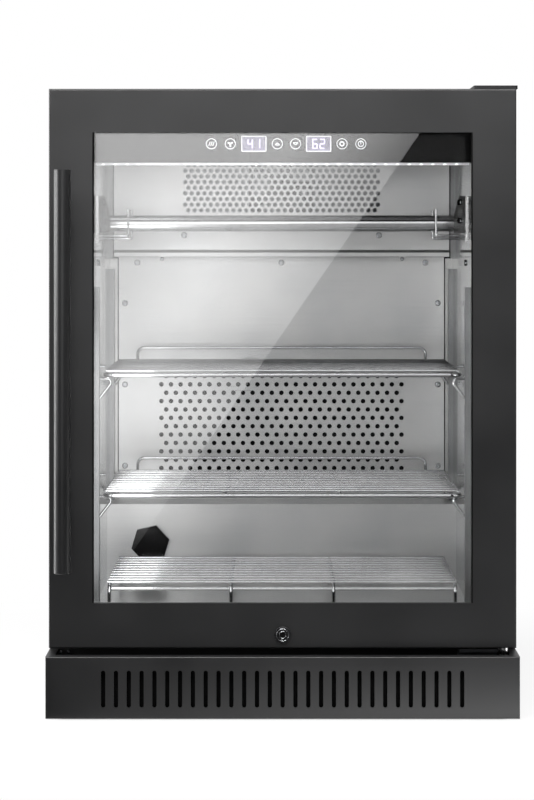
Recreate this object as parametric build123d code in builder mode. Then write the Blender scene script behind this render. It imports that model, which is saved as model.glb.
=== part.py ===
# A free-standing dry aging cabinet: an insulated body with a stainless cavity, a glass door on
# its right hinge, wire shelves, a hanging rod, and the cooling parts behind and under the cavity.
# Millimetres. X to the right, Y to the back, Z up, the floor at Z = 0.
import os
from math import cos, radians, sin

from build123d import *

os.makedirs("parts", exist_ok=True)

# Driving dimensions
cabinet_width = 595.0
cabinet_top = 793.0
carcass_depth = 532.0
side_wall = 48.5
top_wall = 48.0
back_wall = 32.0
cavity_floor = 115.0
floor_wall = 32.0
hump_depth = 132.0
hump_height = 109.0
hump_wall = 40.0
hump_front_wall = 42.0
cover_height = 165.0
base_bottom = 12.0
outer_sheet = 1.0
liner_sheet = 1.0

door_width = 590.0
door_bottom = 87.0
door_thickness = 40.0
door_rail_width = 55.0
door_foot_rail = 57.0
gasket_space = 8.0
handle_radius = 10.5
handle_offset = 45.0

# Clearances and small sizes that many pieces share
gap = 0.3
running = 0.05
overrun = 5.0
weld = 0.6
screw_radius = 2.0
screw_head_radius = 4.2
screw_head_height = 2.2
screw_length = 8.0

# Places worked out from them
half_width = cabinet_width / 2
inner_half = half_width - outer_sheet
door_half = door_width / 2
handle_reach = handle_offset + handle_radius
overall_depth = handle_reach + door_thickness + gasket_space + carcass_depth
door_front = handle_reach - overall_depth / 2
door_back = door_front + door_thickness
body_front = door_back + gasket_space
body_back = body_front + carcass_depth
door_top = cabinet_top - gap
cavity_half = half_width - side_wall
cavity_ceiling = cabinet_top - top_wall
cavity_back = body_back - back_wall
hump_front = body_back - hump_depth
hump_top = cavity_floor + hump_height
cover_bottom = cavity_ceiling - cover_height
window_half = door_half - door_rail_width
window_bottom = door_bottom + door_foot_rail
window_top = door_top - door_rail_width
window = (-window_half, window_half, window_bottom, window_top)


def front_plane(y):
    """The upright plane at a value of y that looks to the front: its X is X and its Y is Z."""
    return Plane.XZ.offset(-y)


def side_plane(x):
    """The upright plane at a value of x that looks to the right: its X is Y and its Y is Z."""
    return Plane.YZ.offset(x)


def block(x_span, y_span, z_span, mode=Mode.ADD):
    """A box between two values on each axis, in either order."""
    spans = [sorted(span) for span in (x_span, y_span, z_span)]
    with Locations(tuple((low + high) / 2 for low, high in spans)):
        Box(*(high - low for low, high in spans), mode=mode)


def panel_ring(outer, inner, y_span, mode=Mode.ADD):
    """An upright rectangular ring between two values of y, from (x0, x1, z0, z1) tuples."""
    with BuildSketch(front_plane(y_span[0])) as section:
        for (x0, x1, z0, z1), kind in ((outer, Mode.ADD), (inner, Mode.SUBTRACT)):
            with Locations(((x0 + x1) / 2, (z0 + z1) / 2)):
                Rectangle(x1 - x0, z1 - z0, mode=kind)
    extrude(section.sketch, amount=y_span[0] - y_span[1], mode=mode)


def bar(start, end, radius, mode=Mode.ADD):
    """A straight round bar from one point to another."""
    line = Vector(*end) - Vector(*start)
    with BuildSketch(Plane(origin=start, z_dir=line)) as section:
        Circle(radius)
    extrude(section.sketch, amount=line.length, mode=mode)


def bent_bar(points, bend, radius):
    """A round bar along straight runs joined by arcs."""
    with BuildLine() as path:
        FilletPolyline(*points, radius=bend)
    with BuildSketch(Plane(origin=path.line @ 0, z_dir=path.line % 0)) as section:
        Circle(radius)
    sweep(section.sketch, path=path.line)


def grown(rectangle, amount):
    """An (x0, x1, z0, z1) rectangle moved out on all four sides."""
    x0, x1, z0, z1 = rectangle
    return (x0 - amount, x1 + amount, z0 - amount, z1 + amount)


def save(part, name):
    """Labels a finished piece and writes its file."""
    part.label = name
    export_step(part, "parts/" + name + ".step")


# Base pan: the tray that carries everything, with the wall and roof of the machine space behind,
# and a weld nut over each foot
pan_sheet = 1.5
pan_flange = 24.0
foot_inset_x = 52.0
foot_inset_y = 50.0
foot_stud_radius = 5.0
nut_radius = 9.5
nut_height = 12.0

deck_height = cavity_floor - floor_wall
machine_front = hump_front + hump_front_wall
machine_top = hump_top - hump_wall
pan_top = base_bottom + pan_sheet
nut_top = pan_top + nut_height
foot_places = [
    (side * (half_width - foot_inset_x), y)
    for y in (body_front + foot_inset_y, body_back - foot_inset_y)
    for side in (-1, 1)
]
rear_panel_front = body_back - 2 * outer_sheet

with BuildPart() as base_pan:
    block((-inner_half, inner_half), (body_front, rear_panel_front), (base_bottom, pan_top))
    for side in (-1, 1):
        flange = (side * inner_half, side * (inner_half - pan_sheet))
        block(flange, (body_front, rear_panel_front), (base_bottom, base_bottom + pan_flange))
    riser = (machine_front - pan_sheet, machine_front)
    block((-inner_half, inner_half), riser, (base_bottom, machine_top + pan_sheet))
    roof = (machine_top, machine_top + pan_sheet)
    block((-inner_half, inner_half), (machine_front, rear_panel_front), roof)
    for x, y in foot_places:
        bar((x, y, base_bottom), (x, y, nut_top), nut_radius)
    for x, y in foot_places:
        bar((x, y, 0), (x, y, nut_top + overrun), foot_stud_radius + running, Mode.SUBTRACT)
save(base_pan.part, "base_pan")

# Levelling feet: a round pad and a stud up through the weld nut
foot_radius = 19.0
foot_height = 9.0
foot_stud_top = 44.0
foot_round = 2.0

for name, (x, y) in zip(("front_left", "front_right", "rear_left", "rear_right"), foot_places):
    with BuildPart() as foot:
        bar((x, y, 0), (x, y, foot_height), foot_radius)
        fillet(foot.edges().group_by(Axis.Z)[-1], radius=foot_round)
        bar((x, y, foot_height), (x, y, foot_stud_top), foot_stud_radius)
    save(foot.part, "foot_" + name)

# Outer panels: a folded sheet on each side, a top sheet, and a rear sheet inside the folds
rear_fold = 14.0

for name, side in (("left", -1), ("right", 1)):
    with BuildPart() as side_panel:
        sheet = (side * half_width, side * inner_half)
        block(sheet, (body_front + outer_sheet, body_back), (base_bottom, cabinet_top))
        fold = (side * half_width, side * (half_width - rear_fold))
        block(fold, (body_back - outer_sheet, body_back), (base_bottom, cabinet_top))
    save(side_panel.part, "side_panel_" + name)

with BuildPart() as top_panel:
    top_sheet = (cabinet_top - outer_sheet, cabinet_top)
    block((-inner_half, inner_half), (body_front + outer_sheet, body_back - outer_sheet), top_sheet)
save(top_panel.part, "top_panel")

with BuildPart() as rear_panel:
    rear_sheet = (rear_panel_front, body_back - outer_sheet)
    rear_bottom = machine_top + pan_sheet
    block((-inner_half, inner_half), rear_sheet, (rear_bottom, cabinet_top - outer_sheet))
save(rear_panel.part, "rear_panel")

# Rear grille: the removable plate over the machine space, with two rows of upright slots
vent_pitch = 15.0
vent_width = 6.0
vent_height = 56.0
vent_rows = 2
vent_margin_x = 46.0
cable_hole_radius = 12.0
inlet_inset_x = 60.0
inlet_height = 50.0

inlet_x = half_width - inlet_inset_x
vent_count = int((cabinet_width - 2 * vent_margin_x - inlet_inset_x) / vent_pitch)
vent_row_pitch = (machine_top - base_bottom) / vent_rows
vent_centre_x = -inlet_inset_x / 2

with BuildPart() as rear_grille:
    block((-inner_half, inner_half), rear_sheet, (base_bottom, rear_bottom))
    with BuildSketch(front_plane(rear_panel_front)):
        with Locations((vent_centre_x, (base_bottom + rear_bottom) / 2)):
            with GridLocations(vent_pitch, vent_row_pitch, vent_count, vent_rows):
                SlotOverall(vent_height, vent_width, rotation=90)
    extrude(amount=-2 * outer_sheet, mode=Mode.SUBTRACT)
    with BuildSketch(front_plane(rear_panel_front)):
        with Locations((inlet_x, inlet_height)):
            Circle(cable_hole_radius)
    extrude(amount=-2 * outer_sheet, mode=Mode.SUBTRACT)
save(rear_grille.part, "rear_grille")

# Power inlet: the gland in the rear grille that the mains lead enters by
inlet_bore = 4.0
inlet_flange_radius = 16.0
inlet_inside = 14.0

with BuildPart() as power_inlet:
    inlet_end = (inlet_x, body_back, inlet_height)
    flange_back = (inlet_x, rear_panel_front, inlet_height)
    flange_front = (inlet_x, rear_panel_front - outer_sheet, inlet_height)
    inlet_front = (inlet_x, rear_panel_front - outer_sheet - inlet_inside, inlet_height)
    bar(inlet_front, flange_front, cable_hole_radius)
    bar(flange_front, flange_back, inlet_flange_radius)
    bar(flange_back, inlet_end, cable_hole_radius)
    bar(inlet_front, inlet_end, inlet_bore, Mode.SUBTRACT)
save(power_inlet.part, "power_inlet")

# Front frame: the folded sheet round the cavity's mouth, which the gasket meets. Its foot stands
# higher than the cavity floor, and holds the slot for the lock's cam
frame_foot = 40.0
mouth_sill = 19.0
frame_return = 18.0
lock_rise = 17.0
cam_half = 11.0
cam_thick = 3.0
cam_high = 6.0
cam_side_room = 3.0
cam_room = 1.5

lock_height = door_bottom + lock_rise
mouth_bottom = cavity_floor + mouth_sill
mouth = (-cavity_half, cavity_half, mouth_bottom, cavity_ceiling)
frame_outer = (-half_width, half_width, frame_foot, cabinet_top)
frame_back = body_front + outer_sheet
return_back = body_front + frame_return
slot_half_x = cam_half + cam_side_room
slot_half_z = cam_high / 2 + cam_room

with BuildPart() as front_frame:
    panel_ring(frame_outer, mouth, (body_front, frame_back))
    panel_ring(grown(mouth, liner_sheet), mouth, (body_front, return_back))
    lip = (cavity_floor - liner_sheet, mouth_bottom)
    block((-cavity_half, cavity_half), (return_back - liner_sheet, return_back), lip)
    slot_y = (body_front - overrun, frame_back + overrun)
    slot_z = (lock_height - slot_half_z, lock_height + slot_half_z)
    block((-slot_half_x, slot_half_x), slot_y, slot_z, Mode.SUBTRACT)
save(front_frame.part, "front_frame")

# Lock strike: the box behind that slot, in which the cam turns
strike_depth = 14.0
strike_wall = 1.5
strike_half_x = slot_half_x + strike_wall
strike_half_z = cam_half + cam_room + strike_wall

with BuildPart() as lock_strike:
    strike_y = (frame_back, frame_back + strike_depth)
    strike_z = (lock_height - strike_half_z, lock_height + strike_half_z)
    block((-strike_half_x, strike_half_x), strike_y, strike_z)
    hollow_x = (-slot_half_x, slot_half_x)
    hollow_y = (frame_back - overrun, frame_back + strike_depth - strike_wall)
    hollow_z = (strike_z[0] + strike_wall, strike_z[1] - strike_wall)
    block(hollow_x, hollow_y, hollow_z, Mode.SUBTRACT)
save(lock_strike.part, "lock_strike")

# Cavity liners: stainless sheets, the side ones with a shallow seam at the height of the upper cover
seam_rise = 2.0
seam_width = 1.6
seam_depth = 0.5
wall_screw_depth = 206.0
wall_screw_drop = 9.4

seam_height = cover_bottom + seam_rise
wall_screw_y = body_front + wall_screw_depth
wall_screw_height = cover_bottom - wall_screw_drop
liner_front = return_back
liner_half = cavity_half + liner_sheet

for name, side in (("left", -1), ("right", 1)):
    with BuildPart() as liner_side:
        sheet = (side * cavity_half, side * liner_half)
        block(sheet, (liner_front, cavity_back), (cavity_floor, cavity_ceiling))
        groove = (side * (cavity_half - seam_depth), side * (cavity_half + seam_depth))
        seam = (seam_height, seam_height + seam_width)
        block(groove, (liner_front - overrun, cavity_back + overrun), seam, Mode.SUBTRACT)
        notch_y = (hump_front + liner_sheet, cavity_back + overrun)
        notch_z = (cavity_floor - overrun, hump_top - liner_sheet)
        block(sheet, notch_y, notch_z, Mode.SUBTRACT)
        screw_hole = (side * cavity_half, wall_screw_y, wall_screw_height)
        screw_end = (side * (liner_half + overrun), wall_screw_y, wall_screw_height)
        bar(screw_hole, screw_end, screw_radius + running, Mode.SUBTRACT)
    save(liner_side.part, "liner_" + name)

with BuildPart() as liner_floor:
    floor_sheet = (cavity_floor - liner_sheet, cavity_floor)
    block((-liner_half, liner_half), (liner_front, hump_front), floor_sheet)
save(liner_floor.part, "liner_floor")

with BuildPart() as liner_ceiling:
    ceiling_sheet = (cavity_ceiling, cavity_ceiling + liner_sheet)
    block((-liner_half, liner_half), (liner_front, cavity_back), ceiling_sheet)
save(liner_ceiling.part, "liner_ceiling")

with BuildPart() as liner_back:
    back_sheet = (cavity_back, cavity_back + liner_sheet)
    block((-liner_half, liner_half), back_sheet, (hump_top, cavity_ceiling + liner_sheet))
save(liner_back.part, "liner_back")

# Step cover: the folded sheet over the machine space, whose foot is a fold on the floor's level
with BuildPart() as step_cover:
    step_sheet = (hump_front, hump_front + liner_sheet)
    block((-cavity_half, cavity_half), step_sheet, (cavity_floor - liner_sheet, hump_top))
    step_top = (hump_top - liner_sheet, hump_top)
    block((-cavity_half, cavity_half), (hump_front, cavity_back), step_top)
save(step_cover.part, "step_cover")

# Insulation: the foam between the outer panels and the liners, over the step too
with BuildPart() as insulation_foam:
    foam_y = (frame_back, rear_panel_front)
    block((-inner_half, inner_half), foam_y, (deck_height, cabinet_top - outer_sheet))
    foam_cavity_z = (cavity_floor - liner_sheet, cavity_ceiling + liner_sheet)
    block((-liner_half, liner_half), (body_front, cavity_back + liner_sheet), foam_cavity_z, Mode.SUBTRACT)
    foam_step_z = (cavity_floor - liner_sheet, hump_top - liner_sheet)
    block((-liner_half, liner_half), (hump_front + liner_sheet, cavity_back + liner_sheet), foam_step_z)
    machine_z = (0, machine_top + pan_sheet)
    block((-half_width, half_width), (machine_front - pan_sheet, body_back), machine_z, Mode.SUBTRACT)
    block((-strike_half_x, strike_half_x), strike_y, strike_z, Mode.SUBTRACT)
save(insulation_foam.part, "insulation_foam")

# Back panel: the perforated plate in front of the back liner, with folded sides that stand off it
back_panel_gap = 20.0
back_panel_side_gap = 12.0
back_panel_sheet = 1.0
back_panel_drop = 4.0
top_strip_height = 13.0
strip_set_back = 0.5
back_hole_radius = 3.35
back_hole_pitch = 14.0
back_hole_row_pitch = 12.2
back_hole_rows = 13
back_hole_rise = 44.5
back_hole_margin = 55.0
back_screw_drop = 8.0
back_screw_inset = 27.0
side_screw_inset = 9.0
side_screw_rise = 48.0
side_screw_pitch = 118.5

back_panel_half = cavity_half - back_panel_side_gap
back_panel_top = cover_bottom - back_panel_drop
back_hole_columns = round(2 * (back_panel_half - back_hole_margin) / back_hole_pitch)
back_hole_bottom = hump_top + back_hole_rise
back_screw_side = back_panel_half - back_screw_inset
side_screw_x = back_panel_half - side_screw_inset
side_screw_low = hump_top + side_screw_rise
back_panel_front = cavity_back - back_panel_gap
back_panel_back = back_panel_front + back_panel_sheet
strip_bottom = back_panel_top - top_strip_height
back_screws = [(x, back_panel_top - back_screw_drop) for x in (-back_screw_side, 0, back_screw_side)]
side_screws = [
    (side * side_screw_x, side_screw_low + row * side_screw_pitch)
    for side in (-1, 1)
    for row in (0, 1, 2)
]
back_holes = [
    (
        (column - (back_hole_columns - 1 - row % 2) / 2) * back_hole_pitch,
        back_hole_bottom + row * back_hole_row_pitch,
    )
    for row in range(back_hole_rows)
    for column in range(back_hole_columns - row % 2)
]

with BuildPart() as back_panel:
    with BuildSketch(front_plane(back_panel_front)):
        with Locations((0, (hump_top + strip_bottom) / 2)):
            Rectangle(2 * back_panel_half, strip_bottom - hump_top)
        with Locations(*back_holes):
            Circle(back_hole_radius, mode=Mode.SUBTRACT)
        with Locations(*side_screws):
            Circle(screw_radius + running, mode=Mode.SUBTRACT)
    extrude(amount=-back_panel_sheet)
    strip_y = (back_panel_front + strip_set_back, back_panel_back + strip_set_back)
    strip_z = (strip_bottom - back_panel_sheet, back_panel_top)
    block((-back_panel_half, back_panel_half), strip_y, strip_z)
    with BuildSketch(front_plane(back_panel_front)):
        with Locations(*back_screws):
            Circle(screw_radius + running)
    extrude(amount=-back_panel_gap, mode=Mode.SUBTRACT)
    for side in (-1, 1):
        fold = (side * back_panel_half, side * (back_panel_half - back_panel_sheet))
        block(fold, (back_panel_back, cavity_back), (hump_top, strip_bottom))
save(back_panel.part, "back_panel")

# Evaporator cover: the folded cover in front of the evaporator, with its grille of round holes and
# two small clips under its lower edge
cover_depth = 90.0
cover_side_gap = 9.0
cover_chamfer = 7.0
cover_sheet = 1.0
cover_hole_radius = 3.2
cover_hole_pitch = 9.2
cover_hole_row_pitch = 8.1
cover_hole_columns = 31
cover_hole_rows = 10
cover_hole_rise = 63.6
cover_screw_x = 139.5
cover_screw_rise = 28.0
clip_left = -174.0
clip_right = 176.0
clip_width = 9.0
clip_drop = 5.0
clip_thick = 2.0

cover_front = cavity_back - cover_depth
cover_half = cavity_half - cover_side_gap
cover_hole_bottom = cover_bottom + cover_hole_rise
cover_screw_height = cover_bottom + cover_screw_rise
cover_screws = [(-cover_screw_x, cover_screw_height), (cover_screw_x, cover_screw_height)]
cover_holes = [
    (
        (column - (cover_hole_columns - 1 - (row + 1) % 2) / 2) * cover_hole_pitch,
        cover_hole_bottom + row * cover_hole_row_pitch,
    )
    for row in range(cover_hole_rows)
    for column in range(cover_hole_columns - (row + 1) % 2)
]

with BuildPart() as evaporator_cover:
    face_bottom = cover_bottom + cover_chamfer
    with BuildSketch(front_plane(cover_front)):
        with Locations((0, (face_bottom + cavity_ceiling) / 2)):
            Rectangle(2 * cover_half, cavity_ceiling - face_bottom)
        with Locations(*cover_holes):
            Circle(cover_hole_radius, mode=Mode.SUBTRACT)
        with Locations(*cover_screws):
            Circle(screw_radius + running, mode=Mode.SUBTRACT)
    extrude(amount=-cover_sheet)
    with BuildSketch(side_plane(-cover_half)):
        with BuildLine():
            Polyline(
                (cover_front, face_bottom),
                (cover_front + cover_chamfer, cover_bottom),
                (cavity_back, cover_bottom),
                (cavity_back, cover_bottom + cover_sheet),
                (cover_front + cover_chamfer, cover_bottom + cover_sheet),
                (cover_front + cover_sheet, face_bottom),
                close=True,
            )
        make_face()
    extrude(amount=2 * cover_half)
    for side in (-1, 1):
        wall = (side * cover_half, side * (cover_half - cover_sheet))
        block(wall, (cover_front + cover_chamfer, cavity_back), (cover_bottom, cavity_ceiling))
    for x in (clip_left, clip_right):
        clip = (x - clip_width / 2, x + clip_width / 2)
        clip_y = (back_panel_front - clip_thick, back_panel_front)
        block(clip, clip_y, (cover_bottom - clip_drop, cover_bottom + cover_sheet))
save(evaporator_cover.part, "evaporator_cover")

# Hanging rod: a chrome bar across the cavity that lies in a saddle at each end. Each bracket is a
# plate on the wall with the saddle and a slanted face that narrows upwards before the rod's end
rod_radius = 11.0
rod_drop = 121.0
rod_depth = 220.0
bracket_sheet = 2.0
saddle_wall = 2.2
saddle_length = 14.0
slant_angle = 57.0
slant_reach = 16.0
slant_low = 12.0
slant_side = 12.0
slant_high = 37.0
slant_top_share = 0.6
slant_screw_share = 0.56
slant_screw_rises = (3.5, 28.5)
wall_plate_back = 18.0
wall_plate_low = 26.0

rod_y = body_front + rod_depth
rod_height = cavity_ceiling - rod_drop
wall_plate_face = cavity_half - bracket_sheet
saddle_inner = rod_radius + gap
saddle_outer = saddle_inner + saddle_wall
slant_run = slant_reach / cos(radians(slant_angle))
slant_front = rod_y - saddle_outer - slant_run * sin(radians(slant_angle))
slant_along = Vector(-cos(radians(slant_angle)), sin(radians(slant_angle)), 0)
slant_inward = Vector(sin(radians(slant_angle)), cos(radians(slant_angle)), 0)
slant_origin = Vector(cavity_half, slant_front, rod_height)

with BuildPart() as hanging_rod:
    rod_end = wall_plate_face - gap
    bar((-rod_end, rod_y, rod_height), (rod_end, rod_y, rod_height), rod_radius)
    fillet(hanging_rod.edges().filter_by(GeomType.CIRCLE), radius=weld)
save(hanging_rod.part, "hanging_rod")

with BuildPart() as rod_brackets:
    plate_z = (rod_height - wall_plate_low, rod_height + slant_high)
    block((cavity_half, wall_plate_face), (slant_front, rod_y + wall_plate_back), plate_z)
    with BuildSketch(side_plane(wall_plate_face - saddle_length)):
        with Locations((rod_y, rod_height)):
            Circle(saddle_outer)
            Circle(saddle_inner, mode=Mode.SUBTRACT)
        with Locations((rod_y, rod_height + saddle_outer / 2)):
            Rectangle(2 * saddle_outer, saddle_outer, mode=Mode.SUBTRACT)
    extrude(amount=saddle_length)
    slant_face = Plane(origin=slant_origin, x_dir=slant_along, z_dir=slant_inward)
    with BuildSketch(slant_face):
        with BuildLine():
            Polyline(
                (0, -slant_low),
                (slant_run, -slant_low),
                (slant_run, slant_side),
                (slant_run * slant_top_share, slant_high),
                (0, slant_high),
                close=True,
            )
        make_face()
        with Locations(*[(slant_run * slant_screw_share, rise) for rise in slant_screw_rises]):
            Circle(screw_radius + running, mode=Mode.SUBTRACT)
    extrude(amount=bracket_sheet)
    past_wall = (cavity_half, cavity_half + slant_run)
    block(past_wall, (slant_front - slant_run, rod_y), plate_z, Mode.SUBTRACT)
    mirror(about=Plane.YZ)
save(rod_brackets.part, "rod_brackets")

# Rod retainers: two bent wires at each end, which come from the bracket under the rod and rise
# before and behind it, so that the rod lifts out between them
retainer_radius = 1.5
retainer_bend = 3.0
retainer_reach = 40.4
retainer_step = 3.2
retainer_front_rise = 19.5
retainer_back_rise = 17.5
retainer_front_low = 16.7
retainer_back_low = 20.5

with BuildPart() as rod_retainers:
    retainer_offset = rod_radius + retainer_radius + 2 * gap
    for side in (-1, 1):
        for y, reach, rise, low in (
            (rod_y - retainer_offset, retainer_reach, retainer_front_rise, retainer_front_low),
            (rod_y + retainer_offset, retainer_reach + retainer_step, retainer_back_rise, retainer_back_low),
        ):
            tip = side * (cavity_half - reach)
            bent_bar(
                [
                    (side * wall_plate_face, y, rod_height - low),
                    (tip, y, rod_height - low),
                    (tip, y, rod_height + rise),
                ],
                retainer_bend,
                retainer_radius,
            )
save(rod_retainers.part, "rod_retainers")

# Panel screws: each a pan head on a face and a short shank through it
with BuildPart() as panel_screws:

    def screw(x, y, z, direction, length):
        seat = Vector(x, y, z)
        bar(tuple(seat), tuple(seat - direction * screw_head_height), screw_head_radius)
        bar(tuple(seat), tuple(seat + direction * length), screw_radius)

    back = Vector(0, 1, 0)
    for x, z in side_screws:
        screw(x, back_panel_front, z, back, screw_length)
    for x, z in back_screws:
        screw(x, back_panel_front + strip_set_back, z, back, screw_length)
    for x, z in cover_screws:
        screw(x, cover_front, z, back, screw_length)
    for side in (-1, 1):
        for rise in slant_screw_rises:
            seat = slant_origin + slant_along * (slant_run * slant_screw_share) + Vector(0, 0, rise)
            inward = Vector(side * slant_inward.X, slant_inward.Y, 0)
            screw(side * seat.X, seat.Y, seat.Z, inward, bracket_sheet)
        outward = Vector(side, 0, 0)
        screw(side * cavity_half, wall_screw_y, wall_screw_height, outward, liner_sheet)
save(panel_screws.part, "panel_screws")

# Shelf uprights: four slotted strips on the side liners
upright_thick = 6.5
upright_width = 16.0
front_upright_depth = 127.0
rear_upright_inset = 43.0
front_upright_drop = 41.0
rear_upright_drop = 21.0
slot_wide = 5.0
slot_high = 12.0
slot_deep = 3.0
slot_pitch = 26.0
slot_rise = 16.0

front_upright_y = body_front + front_upright_depth
rear_upright_y = cavity_back - rear_upright_inset
front_upright_top = cover_bottom - front_upright_drop
rear_upright_top = cover_bottom - rear_upright_drop
slot_bottom = hump_top + slot_rise
upright_face = cavity_half - upright_thick
uprights = [
    (front_upright_y, cavity_floor, front_upright_top),
    (rear_upright_y, hump_top, rear_upright_top),
]

with BuildPart() as shelf_uprights:
    for y, low, high in uprights:
        for side in (-1, 1):
            strip_x = (side * upright_face, side * cavity_half)
            block(strip_x, (y, y + upright_width), (low, high))
            slot_y = (y + (upright_width - slot_wide) / 2, y + (upright_width + slot_wide) / 2)
            slot_x = (side * (upright_face - overrun), side * (upright_face + slot_deep))
            for row in range(int((high - slot_bottom) / slot_pitch)):
                slot_low = slot_bottom + row * slot_pitch
                block(slot_x, slot_y, (slot_low, slot_low + slot_high), Mode.SUBTRACT)
save(shelf_uprights.part, "shelf_uprights")

# Wire shelves: a welded frame with cross members and a deck of wires, and a guard wire behind
shelf_rises = (311.0, 154.0)
shelf_side_gap = 15.0
shelf_front_depth = 60.0
shelf_back_gap = 103.0
shelf_frame_radius = 3.0
shelf_corner = 12.0
deck_wire_radius = 2.0
deck_wire_count = 12
deck_end_gap = 22.75
cross_member_x = 75.0
guard_inset = 29.0
guard_rise = 21.5
guard_radius = 2.0
guard_corner = 9.0

shelf_heights = [cavity_floor + rise for rise in shelf_rises]
shelf_half = cavity_half - shelf_side_gap
guard_half = shelf_half - guard_inset
shelf_front = body_front + shelf_front_depth
shelf_back = cavity_back - shelf_back_gap
frame_x = shelf_half - shelf_frame_radius
frame_front_y = shelf_front + shelf_frame_radius
frame_back_y = shelf_back - shelf_frame_radius
deck_rise = shelf_frame_radius + deck_wire_radius - weld
deck_start = shelf_front + deck_end_gap
deck_wire_pitch = (shelf_back - deck_end_gap - deck_start) / (deck_wire_count - 1)

for name, z in zip(("upper", "lower"), shelf_heights):
    with BuildPart() as shelf:
        with BuildLine() as loop:
            FilletPolyline(
                (frame_x, frame_front_y, z),
                (frame_x, frame_back_y, z),
                (-frame_x, frame_back_y, z),
                (-frame_x, frame_front_y, z),
                radius=shelf_corner,
                close=True,
            )
        with BuildSketch(Plane(origin=loop.line @ 0, z_dir=loop.line % 0)):
            Circle(shelf_frame_radius)
        sweep()
        for side in (-1, 1):
            member_x = side * cross_member_x
            bar((member_x, frame_front_y, z), (member_x, frame_back_y, z), shelf_frame_radius)
        for row in range(deck_wire_count):
            y = deck_start + row * deck_wire_pitch
            bar((-frame_x, y, z + deck_rise), (frame_x, y, z + deck_rise), deck_wire_radius)
        bent_bar(
            [
                (-guard_half, frame_back_y, z),
                (-guard_half, frame_back_y, z + guard_rise),
                (guard_half, frame_back_y, z + guard_rise),
                (guard_half, frame_back_y, z),
            ],
            guard_corner,
            guard_radius,
        )
    save(shelf.part, "shelf_" + name)

# Shelf brackets: on each side of each shelf, two bent arms and the runner wire welded on them
bracket_radius = 2.0
bracket_reach = 20.0
bracket_drop = 26.0
bracket_bend = 5.0

runner_drop = shelf_frame_radius + gap + bracket_radius
arm_drop = runner_drop + 2 * bracket_radius - weld

with BuildPart() as shelf_brackets:
    for z in shelf_heights:
        for side in (-1, 1):
            root = side * upright_face
            tip = side * (upright_face - bracket_reach)
            arm_z = z - arm_drop
            for upright_y in (front_upright_y, rear_upright_y):
                y = upright_y + upright_width / 2
                bent_bar(
                    [(root, y, arm_z), (tip, y, arm_z), (root, y, arm_z - bracket_drop)],
                    bracket_bend,
                    bracket_radius,
                )
            runner = side * frame_x
            runner_z = z - runner_drop
            runner_front = (runner, front_upright_y, runner_z)
            bar(runner_front, (runner, rear_upright_y + upright_width, runner_z), bracket_radius)
save(shelf_brackets.part, "shelf_brackets")

# Bottom rack: bent wire legs front and back, a front wire and a deck, standing on the floor
rack_side_gap = 20.0
rack_front_depth = 73.0
rack_back_gap = 43.0
rack_rise = 35.0
rack_radius = 2.5
rack_bend = 8.0
rack_wire_radius = 2.0
rack_wire_count = 11
rack_end_gap = 9.5
rack_leg_inset = 3.0
rack_inner_leg = 67.0

rack_half = cavity_half - rack_side_gap
rack_outer_leg = rack_half - rack_leg_inset
rack_height = cavity_floor + rack_rise
rack_front = body_front + rack_front_depth
rack_back = hump_front - rack_back_gap
rack_foot = cavity_floor + gap
rack_wire_z = rack_height + rack_radius + rack_wire_radius - weld
rack_wire_start = rack_front + rack_end_gap
rack_wire_pitch = (rack_back - rack_end_gap - rack_wire_start) / (rack_wire_count - 1)

with BuildPart() as bottom_rack:
    for x in (-rack_outer_leg, -rack_inner_leg, rack_inner_leg, rack_outer_leg):
        bent_bar(
            [
                (x, rack_front + rack_radius, rack_foot),
                (x, rack_front + rack_radius, rack_height),
                (x, rack_back - rack_radius, rack_height),
                (x, rack_back - rack_radius, rack_foot),
            ],
            rack_bend,
            rack_radius,
        )
    front_wire_y = rack_front + rack_bend
    front_wire_z = rack_height - 2 * rack_radius + weld
    bar((-rack_half, front_wire_y, front_wire_z), (rack_half, front_wire_y, front_wire_z), rack_radius)
    for row in range(rack_wire_count):
        y = rack_wire_start + row * rack_wire_pitch
        bar((-rack_half, y, rack_wire_z), (rack_half, y, rack_wire_z), rack_wire_radius)
save(bottom_rack.part, "bottom_rack")

# Filter cap: the six-sided cap on the step, turned a little off level
cap_inset = 62.0
cap_rise = 53.0
cap_radius = 27.7
cap_turn = 13.0
cap_thick = 13.0
cap_chamfer = 2.5
cap_dish_radius = 17.0
cap_dish_depth = 1.5

cap_x = cap_inset - cavity_half
cap_height = cavity_floor + cap_rise
with BuildPart() as filter_cap:
    with BuildSketch(front_plane(hump_front - cap_thick)):
        with Locations((cap_x, cap_height)):
            RegularPolygon(cap_radius, 6, rotation=cap_turn)
    extrude(amount=-cap_thick)
    chamfer(filter_cap.faces().sort_by(Axis.Y)[0].edges(), length=cap_chamfer)
    dish_start = (cap_x, hump_front - cap_thick - overrun, cap_height)
    dish_end = (cap_x, hump_front - cap_thick + cap_dish_depth, cap_height)
    bar(dish_start, dish_end, cap_dish_radius, Mode.SUBTRACT)
save(filter_cap.part, "filter_cap")

# Control panel: the housing under the ceiling behind the door's glass, open to the ceiling
panel_front_depth = 12.0
panel_depth = 60.0
panel_high = 44.0
panel_wall = 3.0
panel_side_gap = 0.3
led_width = 12.0
led_high = 3.0
led_side_gap = 9.0
led_front = 2.0

panel_bottom = cavity_ceiling - panel_high
panel_y = body_front + panel_front_depth
panel_half = cavity_half - panel_side_gap

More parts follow.
